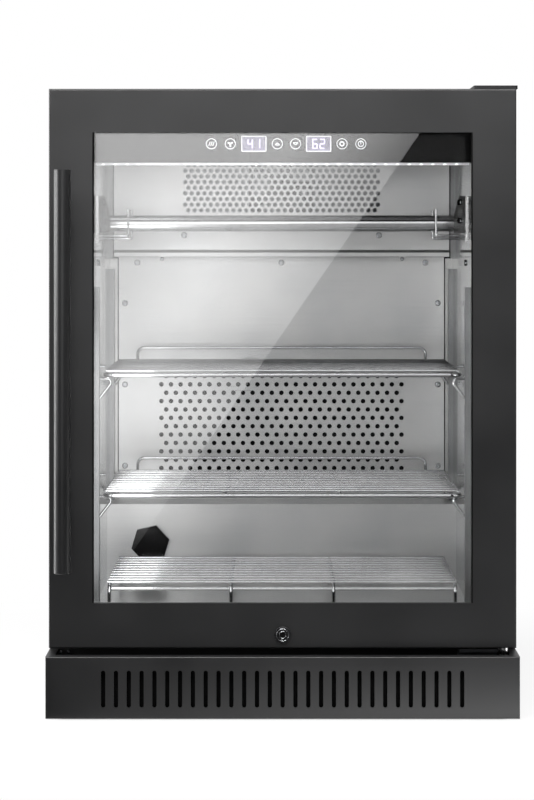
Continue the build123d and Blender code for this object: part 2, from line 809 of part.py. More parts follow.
with BuildPart() as control_panel:
    block((-panel_half, panel_half), (panel_y, panel_y + panel_depth), (panel_bottom, cavity_ceiling))
    hollow = (panel_half - panel_wall, panel_depth - panel_wall)
    hollow_y = (panel_y + panel_wall, panel_y + panel_depth - panel_wall)
    hollow_z = (panel_bottom + panel_wall, cavity_ceiling)
    block((-hollow[0], hollow[0]), hollow_y, hollow_z, Mode.SUBTRACT)
    lower_edges = control_panel.edges().filter_by(Axis.X).group_by(Axis.Z)[0]
    fillet(lower_edges.sort_by(Axis.Y)[0], radius=panel_wall / 2)
save(control_panel.part, "control_panel")

# Light strip: the lamp bar under the control panel
with BuildPart() as led_strip:
    led_half = panel_half - led_side_gap
    led_y = (panel_y + led_front, panel_y + led_front + led_width)
    block((-led_half, led_half), led_y, (panel_bottom - led_high, panel_bottom))
    fillet(led_strip.edges().filter_by(Axis.X).group_by(Axis.Z)[0], radius=led_high / 3)
save(led_strip.part, "led_strip")

# Evaporator: a finned block on tubes with return bends, between two end plates on the back liner
coil_side_gap = 70.0
coil_front_depth = 44.0
coil_thick = 38.0
coil_rise = 38.0
coil_high = 108.0
end_plate = 2.0
tube_radius = 4.0
tube_pitch = 25.0
tube_rows = 4
tube_bend = 12.0
fin_pitch = 10.0
fin_groove = 4.0
fin_groove_depth = 3.0

coil_half = cover_half - coil_side_gap
coil_bottom = cover_bottom + coil_rise

with BuildPart() as evaporator_coil:
    coil_y = (cavity_back - coil_front_depth, cavity_back - coil_front_depth + coil_thick)
    coil_z = (coil_bottom, coil_bottom + coil_high)
    block((-coil_half, coil_half), coil_y, coil_z)
    groove_count = int(2 * coil_half / fin_pitch)
    for column in range(groove_count):
        x = -coil_half + (column + 1 / 2) * fin_pitch
        groove_x = (x - fin_groove / 2, x + fin_groove / 2)
        block(groove_x, (coil_y[0], coil_y[0] + fin_groove_depth), coil_z, Mode.SUBTRACT)
    tube_y = (coil_y[0] + coil_y[1]) / 2
    tube_bottom = coil_bottom + (coil_high - (tube_rows - 1) * tube_pitch) / 2
    for side in (-1, 1):
        plate_x = (side * coil_half, side * (coil_half + end_plate))
        block(plate_x, (coil_y[0], cavity_back), coil_z)
        tube_end = side * (coil_half + end_plate + tube_bend + tube_radius)
        for row in range(tube_rows):
            z = tube_bottom + row * tube_pitch
            bent_here = row % 2 == (1 - side) / 2
            if bent_here and row + 1 < tube_rows:
                bent_bar(
                    [
                        (side * coil_half, tube_y, z),
                        (tube_end, tube_y, z),
                        (tube_end, tube_y, z + tube_pitch),
                        (side * coil_half, tube_y, z + tube_pitch),
                    ],
                    tube_bend,
                    tube_radius,
                )
    for z in (tube_bottom, tube_bottom + (tube_rows - 1) * tube_pitch):
        bar((-coil_half, tube_y, z), (-tube_end, tube_y, z), tube_radius)
save(evaporator_coil.part, "evaporator_coil")

# Fans: a square frame with a motor on three arms, and a rotor whose shaft turns in the motor
fan_radius = 42.0
fan_tip_gap = 2.0
fan_frame_half = 47.0
fan_frame_depth = 22.0
fan_arm_depth = 5.0
fan_arm_radius = 2.0
motor_radius = 15.0
motor_depth = 16.0
hub_gap = 0.8
hub_wall = 2.0
shaft_radius = 2.0
shaft_reach = 12.0
blade_thick = 2.0
blade_chord = 15.0
blade_tilt = 35.0
blade_count = 5
post_radius = 4.0


def fan_frame(x, z, front, seat, name):
    """The frame of a fan on four posts, from its front face to the wall that it is fixed to."""
    back = front + fan_frame_depth
    with BuildPart() as frame:
        frame_z = (z - fan_frame_half, z + fan_frame_half)
        block((x - fan_frame_half, x + fan_frame_half), (front, back), frame_z)
        bar((x, front - overrun, z), (x, back + overrun, z), fan_radius + fan_tip_gap, Mode.SUBTRACT)
        for turn in (90, 210, 330):
            reach = fan_radius + 2 * fan_tip_gap
            arm_y = back - fan_arm_depth / 2
            end = (x + reach * cos(radians(turn)), arm_y, z + reach * sin(radians(turn)))
            bar((x, arm_y, z), end, fan_arm_radius)
        bar((x, back - motor_depth, z), (x, back, z), motor_radius)
        hole_start = (x, back - motor_depth - overrun, z)
        hole_end = (x, back - motor_depth + shaft_reach, z)
        bar(hole_start, hole_end, shaft_radius + running, Mode.SUBTRACT)
        near = front if abs(seat - front) < abs(seat - back) else back
        for dx in (-1, 1):
            for dz in (-1, 1):
                place = fan_frame_half - post_radius - weld
                post = (x + dx * place, near, z + dz * place)
                bar(post, (x + dx * place, seat, z + dz * place), post_radius)
    save(frame.part, name)


def fan_rotor(x, z, front, name):
    """The rotor of a fan: a cup over the motor with blades round it and a shaft inside."""
    back = front + fan_frame_depth
    motor_front = back - motor_depth
    cup_front = motor_front - hub_gap - hub_wall
    cup_back = back - fan_arm_depth - 2 * hub_gap
    cup_inner = motor_radius + hub_gap
    cup_outer = cup_inner + hub_wall
    with BuildPart() as rotor:
        bar((x, cup_front, z), (x, cup_back, z), cup_outer)
        bar((x, cup_front + hub_wall, z), (x, cup_back + overrun, z), cup_inner, Mode.SUBTRACT)
        bar((x, cup_front, z), (x, motor_front + shaft_reach - hub_gap, z), shaft_radius)
        blade_length = fan_radius - cup_outer + hub_wall / 2
        middle_y = (cup_front + cup_back) / 2
        middle_r = fan_radius - blade_length / 2
        for blade in range(blade_count):
            turn = blade * 360 / blade_count
            centre = (x + middle_r * cos(radians(turn)), middle_y, z + middle_r * sin(radians(turn)))
            outward = Vector(cos(radians(turn)), 0, sin(radians(turn)))
            with Locations(Plane(origin=centre, x_dir=outward, z_dir=(0, 1, 0))):
                Box(blade_length, blade_thick, blade_chord, rotation=(blade_tilt, 0, 0))
    save(rotor.part, name)


evaporator_fan_rise = 100.0
evaporator_fan_gap = 9.0
condenser_fan_x = -70.0
condenser_fan_rise = 86.0
condenser_fan_gap = 12.0

evaporator_fan_z = cover_bottom + evaporator_fan_rise
evaporator_fan_front = cover_front + cover_sheet + evaporator_fan_gap
condenser_fan_z = base_bottom + condenser_fan_rise
condenser_fan_front = rear_panel_front - condenser_fan_gap - fan_frame_depth

fan_frame(0, evaporator_fan_z, evaporator_fan_front, cover_front + cover_sheet, "evaporator_fan_frame")
fan_rotor(0, evaporator_fan_z, evaporator_fan_front, "evaporator_fan")
fan_frame(condenser_fan_x, condenser_fan_z, condenser_fan_front, rear_panel_front, "condenser_fan_frame")
fan_rotor(condenser_fan_x, condenser_fan_z, condenser_fan_front, "condenser_fan")

# Ultraviolet lamp: a tube in two holders on the floor of the evaporator cover
lamp_radius = 8.0
lamp_half = 100.0
lamp_rise = 26.0
lamp_depth = 40.0
holder_radius = 11.0
holder_length = 16.0

with BuildPart() as uv_lamp:
    lamp_y = cover_front + lamp_depth
    lamp_z = cover_bottom + cover_sheet + lamp_rise
    bar((-lamp_half, lamp_y, lamp_z), (lamp_half, lamp_y, lamp_z), lamp_radius)
    for side in (-1, 1):
        holder_start = (side * lamp_half, lamp_y, lamp_z)
        bar(holder_start, (side * (lamp_half + holder_length), lamp_y, lamp_z), holder_radius)
        foot_x = (side * (lamp_half + holder_length / 2), side * (lamp_half + holder_length))
        block(foot_x, (lamp_y - lamp_radius, lamp_y + lamp_radius), (cover_bottom + cover_sheet, lamp_z))
save(uv_lamp.part, "uv_lamp")

# Compressor: a domed oval shell on a foot plate, with its pipe stubs
compressor_fan_space = 130.0
compressor_half_x = 70.0
compressor_half_y = 39.0
compressor_high = 128.0
compressor_round = 18.0
compressor_plate = 4.0
compressor_foot = 8.0
compressor_plate_half_x = 82.0
stub_radius = 3.0
stub_rise = 18.0
stub_spread = 36.0

compressor_x = condenser_fan_x + compressor_fan_space
compressor_y = (machine_front + rear_panel_front) / 2

with BuildPart() as compressor:
    with BuildSketch(Plane.XY.offset(pan_top + compressor_foot)):
        with Locations((compressor_x, compressor_y)):
            Ellipse(compressor_half_x, compressor_half_y)
    extrude(amount=compressor_high)
    fillet(compressor.edges().filter_by(GeomType.ELLIPSE), radius=compressor_round)
    plate_half_y = compressor_half_y - compressor_foot
    plate_x = (compressor_x - compressor_plate_half_x, compressor_x + compressor_plate_half_x)
    plate_y = (compressor_y - plate_half_y, compressor_y + plate_half_y)
    block(plate_x, plate_y, (pan_top + compressor_foot, pan_top + compressor_foot + compressor_plate))
    for x in (plate_x[0] + compressor_foot, plate_x[1] - compressor_foot):
        for y in (plate_y[0] + compressor_foot, plate_y[1] - compressor_foot):
            bar((x, y, pan_top), (x, y, pan_top + compressor_foot), compressor_foot * 3 / 4)
    shell_top = pan_top + compressor_foot + compressor_high
    for offset in (-stub_spread, 0, stub_spread):
        stub_x = compressor_x + offset
        stub_base = shell_top - compressor_round / 2
        bar((stub_x, compressor_y, stub_base), (stub_x, compressor_y, shell_top + stub_rise), stub_radius)
save(compressor.part, "compressor")

# Drain pan: a shallow tray on the base pan, under the condenser
tray_fan_space = 107.0
tray_half_x = 55.0
tray_half_y = 37.0
tray_high = 13.0
tray_wall = 1.5

tray_x = condenser_fan_x - tray_fan_space
with BuildPart() as drain_pan:
    tray = (tray_x - tray_half_x, tray_x + tray_half_x)
    tray_y = (compressor_y - tray_half_y, compressor_y + tray_half_y)
    block(tray, tray_y, (pan_top, pan_top + tray_high))
    inside_x = (tray[0] + tray_wall, tray[1] - tray_wall)
    inside_y = (tray_y[0] + tray_wall, tray_y[1] - tray_wall)
    block(inside_x, inside_y, (pan_top + tray_wall, pan_top + tray_high + overrun), Mode.SUBTRACT)
save(drain_pan.part, "drain_pan")

# Condenser: a finned block on tubes between end plates that stand on the tray's rim
condenser_half_x = 51.0
condenser_half_y = 24.0
condenser_high = 118.0
condenser_lift = 10.0

with BuildPart() as condenser_coil:
    block_z = (pan_top + tray_high + condenser_lift, pan_top + tray_high + condenser_lift + condenser_high)
    block_y = (compressor_y - condenser_half_y, compressor_y + condenser_half_y)
    block((tray_x - condenser_half_x, tray_x + condenser_half_x), block_y, block_z)
    for column in range(int(2 * condenser_half_x / fin_pitch)):
        x = tray_x - condenser_half_x + (column + 1 / 2) * fin_pitch
        groove_x = (x - fin_groove / 2, x + fin_groove / 2)
        block(groove_x, (block_y[1] - fin_groove_depth, block_y[1]), block_z, Mode.SUBTRACT)
    for side in (-1, 1):
        plate_edge = tray_x + side * condenser_half_x
        plate_x = (plate_edge, tray_x + side * tray_half_x)
        plate_y = (compressor_y - tray_half_y, compressor_y + tray_half_y)
        block(plate_x, plate_y, (pan_top + tray_high, block_z[1]))
save(condenser_coil.part, "condenser_coil")

# Control box: the closed box of electronics on the roof side of the machine space
box_inset = 75.5
box_half_x = 56.0
box_drop = 24.0
box_high = 76.0
box_deep = 46.0

box_x = half_width - box_inset

with BuildPart() as control_box:
    box_z = (machine_top - box_drop - box_high, machine_top - box_drop)
    block((box_x - box_half_x, box_x + box_half_x), (machine_front, machine_front + box_deep), box_z)
    fillet(control_box.edges().filter_by(Axis.Y), radius=panel_wall)
save(control_box.part, "control_box")

# Plinth grille: the folded sheet under the door, with upright round-ended slots
plinth_reach = 22.0
plinth_drop = 7.5
plinth_bottom = 2.0
plinth_sheet = 1.5
plinth_slot_count = 29
plinth_slot_pitch = 16.07
plinth_slot_width = 5.4
plinth_slot_height = 46.4
plinth_slot_centre = 39.1
plinth_flange = 16.0
plinth_side_flange = 11.0
plinth_round = 1.5

plinth_front = door_front - plinth_reach
plinth_top = door_bottom - plinth_drop

with BuildPart() as plinth_grille:
    plinth_z = (plinth_bottom, plinth_top)
    block((-half_width, half_width), (plinth_front, body_front), plinth_z)
    front_edges = plinth_grille.faces().sort_by(Axis.Y)[0].edges()
    fillet(front_edges.sort_by(Axis.Z)[1:], radius=plinth_round)
    hollow_x = (-half_width + plinth_sheet, half_width - plinth_sheet)
    block(hollow_x, (plinth_front + plinth_sheet, body_front), plinth_z, Mode.SUBTRACT)
    rim = (plinth_top - plinth_sheet, plinth_top)
    block(hollow_x, (plinth_front + plinth_sheet, plinth_front + plinth_flange), rim)
    for side in (-1, 1):
        rim_x = (side * hollow_x[1], side * (half_width - plinth_side_flange))
        block(rim_x, (plinth_front + plinth_sheet, body_front), rim)
    with BuildSketch(front_plane(plinth_front)):
        with Locations((0, plinth_slot_centre)):
            with GridLocations(plinth_slot_pitch, plinth_slot_height, plinth_slot_count, 1):
                SlotOverall(plinth_slot_height, plinth_slot_width, rotation=90)
    extrude(amount=-2 * plinth_sheet, mode=Mode.SUBTRACT)
save(plinth_grille.part, "plinth_grille")

# Hinge brackets: steel plates on the cabinet, each with the pin that the door turns on
hinge_inset = 15.0
pin_radius = 4.0
pin_reach = 14.0
hinge_plate = 3.0
lower_plate = 4.0
lower_plate_width = 48.5
lower_flange_width = 50.0
lower_flange_height = 36.0
upper_plate_width = 47.0
upper_plate_back = 60.0
hinge_nose = 12.0
barrel_radius = 5.7
barrel_room = 2.0
barrel_drop = 12.0
barrel_step = 2.0

hinge_x = door_half - hinge_inset
hinge_y = door_front + door_thickness / 2

with BuildPart() as hinge_bracket_bottom:
    barrel_top = door_bottom - gap
    barrel_bottom = barrel_top - barrel_drop
    plate_z = (barrel_top - barrel_step - lower_plate, barrel_top - barrel_step)
    plate_end = hinge_x - barrel_radius - barrel_room
    plate_start = plate_end - lower_plate_width
    block((plate_start, plate_end), (hinge_y - hinge_nose, body_front), plate_z)
    block((plate_end, hinge_x + barrel_radius), (hinge_y, body_front), plate_z)
    flange_x = (plate_start, plate_start + lower_flange_width)
    block(flange_x, (body_front - hinge_plate, body_front), (plate_z[1] - lower_flange_height, plate_z[1]))
    bar((hinge_x, hinge_y, barrel_bottom), (hinge_x, hinge_y, barrel_top), barrel_radius)
    bar((hinge_x, hinge_y, barrel_top), (hinge_x, hinge_y, door_bottom + pin_reach), pin_radius)
save(hinge_bracket_bottom.part, "hinge_bracket_bottom")

with BuildPart() as hinge_bracket_top:
    plate_z = (cabinet_top, cabinet_top + hinge_plate)
    plate_x = (hinge_x + hinge_nose - upper_plate_width, hinge_x + hinge_nose)
    block(plate_x, (hinge_y - hinge_nose, body_front + upper_plate_back), plate_z)
    bar((hinge_x, hinge_y, cabinet_top), (hinge_x, hinge_y, door_top - pin_reach), pin_radius)
save(hinge_bracket_top.part, "hinge_bracket_top")

# Hinge cover: the moulded cap over the top bracket
hinge_cover_wall = 1.2
hinge_cover_side = 3.0

with BuildPart() as hinge_cover:
    cover_x = (plate_x[0] - hinge_cover_side, half_width - gap)
    cover_y = (hinge_y - hinge_nose - hinge_cover_side, body_front + upper_plate_back + hinge_cover_side)
    cover_z = (cabinet_top, cabinet_top + hinge_plate + hinge_cover_wall)
    block(cover_x, cover_y, cover_z)
    fillet(hinge_cover.edges().filter_by(Axis.Z), radius=hinge_cover_side)
    inside_x = (cover_x[0] + hinge_cover_wall, cover_x[1] - hinge_cover_wall)
    inside_y = (cover_y[0] + hinge_cover_wall, cover_y[1] - hinge_cover_wall)
    block(inside_x, inside_y, (cabinet_top, cabinet_top + hinge_plate), Mode.SUBTRACT)
save(hinge_cover.part, "hinge_cover")

# Door skin: the folded steel face with its window and short folds round the window
skin_sheet = 1.2
skin_round = 2.0
window_fold = 7.0
liner_plate = 1.5
lock_radius = 9.5
bush_radius = 7.0
bush_depth = 16.0

door_outer = (-door_half, door_half, door_bottom, door_top)
door_inner = grown(door_outer, -skin_sheet)
skin_back = door_back - liner_plate
fold_back = door_front + window_fold

with BuildPart() as door_skin:
    block((-door_half, door_half), (door_front, skin_back), (door_bottom, door_top))
    fillet(door_skin.edges().group_by(Axis.Y)[0], radius=skin_round)
    shell_y = (door_front + skin_sheet, skin_back + overrun)
    panel_ring(door_inner, grown(window, skin_sheet), shell_y, Mode.SUBTRACT)
    window_x = (-window_half, window_half)
    block(window_x, (door_front - overrun, skin_back + overrun), (window_bottom, window_top), Mode.SUBTRACT)
    fold = grown(window, 2 * skin_sheet)
    block(fold[:2], (fold_back, skin_back + overrun), fold[2:], Mode.SUBTRACT)
    bar((0, door_front - overrun, lock_height), (0, door_back, lock_height), lock_radius, Mode.SUBTRACT)
    for z in (door_bottom, door_top):
        bar((hinge_x, hinge_y, z - overrun), (hinge_x, hinge_y, z + overrun), bush_radius, Mode.SUBTRACT)
save(door_skin.part, "door_skin")

# Door core: the moulded frame inside the skin that holds the glass unit
glass_edge = 12.0
glass_thick = 4.0
glass_gap = 12.0

glass_front = fold_back
glass_back = glass_front + 2 * glass_thick + glass_gap
glass_rim = grown(window, glass_edge)
glass_middle_front = glass_front + glass_thick
glass_middle_back = glass_middle_front + glass_gap

with BuildPart() as door_core:
    panel_ring(door_inner, grown(window, skin_sheet), (door_front + skin_sheet, fold_back))
    panel_ring(door_inner, grown(glass_rim, gap), (fold_back, skin_back))
    bar((0, door_front - overrun, lock_height), (0, door_back, lock_height), lock_radius, Mode.SUBTRACT)
    for z, depth in ((door_bottom, bush_depth), (door_top, -bush_depth)):
        bar((hinge_x, hinge_y, z), (hinge_x, hinge_y, z + depth), bush_radius, Mode.SUBTRACT)
save(door_core.part, "door_core")

# Glass unit: two panes with a spacer between them
for name, y in (("outer", glass_front), ("inner", glass_middle_back)):
    with BuildPart() as pane:
        block(glass_rim[:2], (y, y + glass_thick), glass_rim[2:])
    save(pane.part, "glass_" + name)

spacer_inset = 2.0
with BuildPart() as glass_spacer:
    panel_ring(glass_rim, grown(window, spacer_inset), (glass_middle_front, glass_middle_back))
save(glass_spacer.part, "glass_spacer")

# Door liner: the inner frame that closes the core and clamps the glass
liner_inset = 4.0

with BuildPart() as door_liner:
    clamp_inner = grown(window, liner_inset)
    panel_ring(door_inner, clamp_inner, (skin_back, door_back))
    panel_ring(glass_rim, clamp_inner, (glass_back, skin_back))
    lock_hole = (0, skin_back - overrun, lock_height)
    bar(lock_hole, (0, door_back + overrun, lock_height), lock_radius, Mode.SUBTRACT)
save(door_liner.part, "door_liner")

# Door gasket: a magnetic seal with a wide foot and a narrower bellows
gasket_margin = 28.0
gasket_margin_foot = 18.0
gasket_width = 16.0
gasket_foot = 3.0
bellows_inset = 2.0

with BuildPart() as door_gasket:
    x0, x1, z0, z1 = grown(mouth, gasket_margin)
    seal = (x0, x1, mouth_bottom - gasket_margin_foot, z1)
    foot_back = door_back + gasket_foot
    panel_ring(seal, grown(seal, -gasket_width), (door_back, foot_back))
    bellows = grown(seal, -bellows_inset)
    bellows_inner = grown(seal, bellows_inset - gasket_width)
    panel_ring(bellows, bellows_inner, (foot_back, body_front - gap))
save(door_gasket.part, "door_gasket")

# Handle: a round bar on two posts
handle_inset = 20.6
handle_rise = 99.8
handle_drop = 102.7
handle_chamfer = 0.8
post_inset = 70.0
handle_post_radius = 6.0

handle_x = handle_inset - door_half
handle_y = door_front - handle_offset
handle_bottom = door_bottom + handle_rise
handle_top = door_top - handle_drop

with BuildPart() as handle_bar:
    bar((handle_x, handle_y, handle_bottom), (handle_x, handle_y, handle_top), handle_radius)
    chamfer(handle_bar.edges().filter_by(GeomType.CIRCLE), length=handle_chamfer)
save(handle_bar.part, "handle_bar")

with BuildPart() as handle_posts:
    for z in (handle_bottom + post_inset, handle_top - post_inset):
        bar((handle_x, door_front, z), (handle_x, handle_y, z), handle_post_radius)
    bar((handle_x, handle_y, handle_bottom), (handle_x, handle_y, handle_top), handle_radius, Mode.SUBTRACT)
save(handle_posts.part, "handle_posts")

# Lock: a housing through the door, and the cylinder that turns in it with its cam behind
housing_radius = 10.5
housing_proud = 2.5
key_radius = 5.2
cylinder_proud = 0.5
cam_shaft_radius = 3.0
cam_set_back = 2.0
key_slot_width = 1.2
key_slot_length = 6.0
key_slot_depth = 3.0

with BuildPart() as lock_housing:
    bar((0, door_front - housing_proud, lock_height), (0, door_front, lock_height), housing_radius)
    fillet(lock_housing.edges().group_by(Axis.Y)[0], radius=housing_proud / 3)
    bar((0, door_front, lock_height), (0, door_back, lock_height), lock_radius)
    bore_start = (0, door_front - housing_proud - overrun, lock_height)
    bar(bore_start, (0, door_back + overrun, lock_height), key_radius + running, Mode.SUBTRACT)
save(lock_housing.part, "lock_housing")

with BuildPart() as lock_cylinder:
    cylinder_front = door_front - housing_proud - cylinder_proud
    cam_front = frame_back + cam_set_back
    bar((0, cylinder_front, lock_height), (0, door_back, lock_height), key_radius)
    bar((0, door_back, lock_height), (0, cam_front, lock_height), cam_shaft_radius)
    cam_z = (lock_height - cam_high / 2, lock_height + cam_high / 2)
    block((-cam_half, cam_half), (cam_front, cam_front + cam_thick), cam_z)
    slot_x = (-key_slot_width / 2, key_slot_width / 2)
    slot_y = (cylinder_front - overrun, cylinder_front + key_slot_depth)
    slot_z = (lock_height - key_slot_length / 2, lock_height + key_slot_length / 2)
    block(slot_x, slot_y, slot_z, Mode.SUBTRACT)
save(lock_cylinder.part, "lock_cylinder")

# Hinge bushes: the plain bearings in the door for the two pins
with BuildPart() as hinge_bushes:
    for z, depth in ((door_bottom, bush_depth), (door_top, -bush_depth)):
        bar((hinge_x, hinge_y, z), (hinge_x, hinge_y, z + depth), bush_radius)
    for z in (door_bottom, door_top):
        start = (hinge_x, hinge_y, z - bush_depth - overrun)
        bar(start, (hinge_x, hinge_y, z + bush_depth + overrun), pin_radius + running, Mode.SUBTRACT)
save(hinge_bushes.part, "hinge_bushes")
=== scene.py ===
import math

import bpy
from mathutils import Matrix, Vector


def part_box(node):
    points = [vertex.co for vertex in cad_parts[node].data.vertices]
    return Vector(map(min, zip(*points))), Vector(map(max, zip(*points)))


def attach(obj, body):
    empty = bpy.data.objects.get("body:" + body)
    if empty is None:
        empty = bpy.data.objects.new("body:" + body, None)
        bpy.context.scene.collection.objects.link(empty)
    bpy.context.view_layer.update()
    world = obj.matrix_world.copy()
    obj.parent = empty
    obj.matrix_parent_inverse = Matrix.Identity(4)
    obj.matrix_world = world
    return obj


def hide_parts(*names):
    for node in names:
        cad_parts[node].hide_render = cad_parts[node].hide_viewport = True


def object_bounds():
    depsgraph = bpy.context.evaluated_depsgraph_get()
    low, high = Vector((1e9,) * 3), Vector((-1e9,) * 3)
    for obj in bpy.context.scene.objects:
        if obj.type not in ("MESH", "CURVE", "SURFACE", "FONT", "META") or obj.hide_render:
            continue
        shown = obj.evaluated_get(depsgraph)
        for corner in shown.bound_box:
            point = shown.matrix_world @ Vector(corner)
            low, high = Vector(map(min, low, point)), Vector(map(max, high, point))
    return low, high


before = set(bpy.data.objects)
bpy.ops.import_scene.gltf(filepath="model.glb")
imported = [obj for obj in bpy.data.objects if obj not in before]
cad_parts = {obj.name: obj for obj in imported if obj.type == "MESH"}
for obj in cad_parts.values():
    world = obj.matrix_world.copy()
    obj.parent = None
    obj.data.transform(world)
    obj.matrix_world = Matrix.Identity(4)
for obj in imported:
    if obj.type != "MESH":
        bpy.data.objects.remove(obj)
cad_low, cad_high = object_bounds()
bpy.ops.object.select_all(action="DESELECT")
mm = 0.001

# Cabinet shell: folded steel sides and a top sheet slid over the foam, with a pressed front frame,
# a rear grille and a base pan. All of it is powder coated satin black: baked powder leaves a fine
# orange peel, drawn here a little coarser than its real 0.8 mm so that it shows.
coat_colour = "#09090a"
coat_worn = "#101011"
peel_size = 1.5 * mm
peel_depth = 0.008 * mm
cloud_size = 90 * mm
grain_share = 0.5
tone_low = 0.45
tone_high = 1.05


def linear(hex_colour):
    """An sRGB hex colour as linear red, green and blue, with alpha 1."""
    channels = [int(hex_colour[i:i + 2], 16) / 255 for i in (1, 3, 5)]
    return [c / 12.92 if c <= 0.04045 else ((c + 0.055) / 1.055) ** 2.4 for c in channels] + [1.0]


def add_node(tree, kind, settings, links=()):
    """Adds a shader node with its settings, fed by sockets or by other nodes' first outputs."""
    made = tree.nodes.new(kind)
    for key, value in settings.items():
        if isinstance(key, int) or key in made.inputs:
            made.inputs[key].default_value = value
        else:
            setattr(made, key, value)
    for key, source in links:
        outputs = getattr(source, "outputs", None)
        tree.links.new(outputs[0] if outputs else source, made.inputs[key])
    return made


def start_material(name, settings):
    """A material with one Principled shader: it, its tree, the shader and the Object places."""
    made = bpy.data.materials.new(name)
    made.use_nodes = True
    tree = made.node_tree
    tree.nodes.clear()
    shader = add_node(tree, "ShaderNodeBsdfPrincipled", settings)
    add_node(tree, "ShaderNodeOutputMaterial", {}, [("Surface", shader.outputs["BSDF"])])
    return made, tree, shader, tree.nodes.new("ShaderNodeTexCoord").outputs["Object"]


def find_node(tree, kind):
    """The first node of a kind in a tree."""
    return next(node for node in tree.nodes if node.type == kind)


def dress(material, *names):
    """Gives CAD nodes their finish."""
    for name in names:
        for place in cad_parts[name].material_slots:
            place.material = material


def grained(
    name, settings, colours, roughness, size, depth, stretch=(1, 1, 1), cloud=cloud_size
):
    """A finish whose colour and roughness follow a fine grain over broad clouds, with a bump."""
    made, tree, shader, places = start_material(name, settings)
    mapped = add_node(tree, "ShaderNodeMapping", {"Scale": stretch}, [("Vector", places)])
    grain = add_node(
        tree,
        "ShaderNodeTexNoise",
        {"Scale": 1 / size, "Detail": 3.0, "Roughness": 0.6},
        [("Vector", mapped)],
    )
    clouds = add_node(
        tree, "ShaderNodeTexNoise", {"Scale": 1 / cloud, "Detail": 2.0}, [("Vector", places)]
    )
    blend = add_node(
        tree,
        "ShaderNodeMath",
        {"operation": "MULTIPLY_ADD", 1: grain_share},
        [(0, grain), (2, clouds)],
    )
    tone = add_node(tree, "ShaderNodeMapRange", {1: tone_low, 2: tone_high}, [(0, blend)])
    mixed = add_node(
        tree,
        "ShaderNodeMix",
        {"data_type": "RGBA", 6: linear(colours[0]), 7: linear(colours[1])},
        [(0, tone)],
    )
    rough = add_node(
        tree, "ShaderNodeMapRange", {3: roughness[0], 4: roughness[1]}, [(0, tone)]
    )
    bump = add_node(tree, "ShaderNodeBump", {"Distance": depth}, [("Height", grain)])
    tree.links.new(mixed.outputs[2], shader.inputs["Base Color"])
    tree.links.new(rough.outputs[0], shader.inputs["Roughness"])
    tree.links.new(bump.outputs[0], shader.inputs["Normal"])
    return made


powder_coat = grained(
    "satin_black_powder_coat",
    {"IOR": 1.5},
    colours=(coat_colour, coat_worn),
    roughness=(0.42, 0.5),
    size=peel_size,
    depth=peel_depth,
)
dress(powder_coat, "side_panel_left", "side_panel_right", "top_panel")
dress(powder_coat, "front_frame", "rear_grille", "base_pan")

# Rear panel: hot-dip galvanised sheet left bare, as on most machine compartments.
# The zinc freezes in flat crystals some 12 mm across, each of its own grey.
zinc_colour = "#9a9da0"
zinc_dark = "#7c8084"
crystal_size = 12 * mm
crystal_bright = 0.34
crystal_dull = 0.52

galvanised, tree, shader, places = start_material("galvanised_sheet", {"Metallic": 0.9})
crystals = add_node(
    tree, "ShaderNodeTexVoronoi", {"Scale": 1 / crystal_size}, [("Vector", places)]
)
tone = add_node(tree, "ShaderNodeSeparateColor", {}, [(0, crystals.outputs["Color"])])
mixed = add_node(
    tree,
    "ShaderNodeMix",
    {"data_type": "RGBA", 6: linear(zinc_colour), 7: linear(zinc_dark)},
    [(0, tone)],
)
rough = add_node(
    tree, "ShaderNodeMapRange", {3: crystal_bright, 4: crystal_dull}, [(0, tone.outputs[1])]
)
tree.links.new(mixed.outputs[2], shader.inputs["Base Color"])
tree.links.new(rough.outputs[0], shader.inputs["Roughness"])
dress(galvanised, "rear_panel")

# Foam: polyurethane poured between the shell and the liners, where it sets with closed cells.
# Only its edges could ever show, cream coloured and finely pitted.
foam_colour = "#d9c993"
foam_dark = "#b7a46d"
cell_size = 1.2 * mm
cell_depth = 0.3 * mm

foam, tree, shader, places = start_material("polyurethane_foam", {"Roughness": 0.95})
cells = add_node(tree, "ShaderNodeTexVoronoi", {"Scale": 1 / cell_size}, [("Vector", places)])
mixed = add_node(
    tree,
    "ShaderNodeMix",
    {"data_type": "RGBA", 6: linear(foam_dark), 7: linear(foam_colour)},
    [(0, cells.outputs["Distance"])],
)
bump = add_node(
    tree, "ShaderNodeBump", {"Distance": cell_depth}, [("Height", cells.outputs["Distance"])]
)
tree.links.new(mixed.outputs[2], shader.inputs["Base Color"])
tree.links.new(bump.outputs[0], shader.inputs["Normal"])
dress(foam, "insulation_foam")

# Liners, covers and wall strips: stainless sheet, folded. The mill brushes it one way, but leaves
# the side liners bright annealed, near a mirror. The wall strips get a darker tone all over,
# painted shade for their slots. Real scratches are finer than 0.1 mm: they are drawn 1.1 mm wide
# and 160 times as long so that the grain shows.
steel_colour = "#d2d2d1"
steel_dark = "#bcbdbe"
# Darker tones of the wall strips: painted shade for their slots.
pickled_colour = "#7d7e7f"
pickled_light = "#969798"
scratch_width = 1.1 * mm
scratch_depth = 0.002 * mm
scratch_run = 160.0
run_across = (1 / scratch_run, 1, 1)
run_upright = (1, 1, 1 / scratch_run)


def brushed_steel(name, stretch, roughness, colours=(steel_dark, steel_colour)):
    """Stainless sheet with its scratches along the axis that the stretch leaves long."""
    return grained(
        name,
        {"Metallic": 1.0},
        colours=colours,
        roughness=roughness,
        size=scratch_width,
        depth=scratch_depth,
        stretch=stretch,
    )


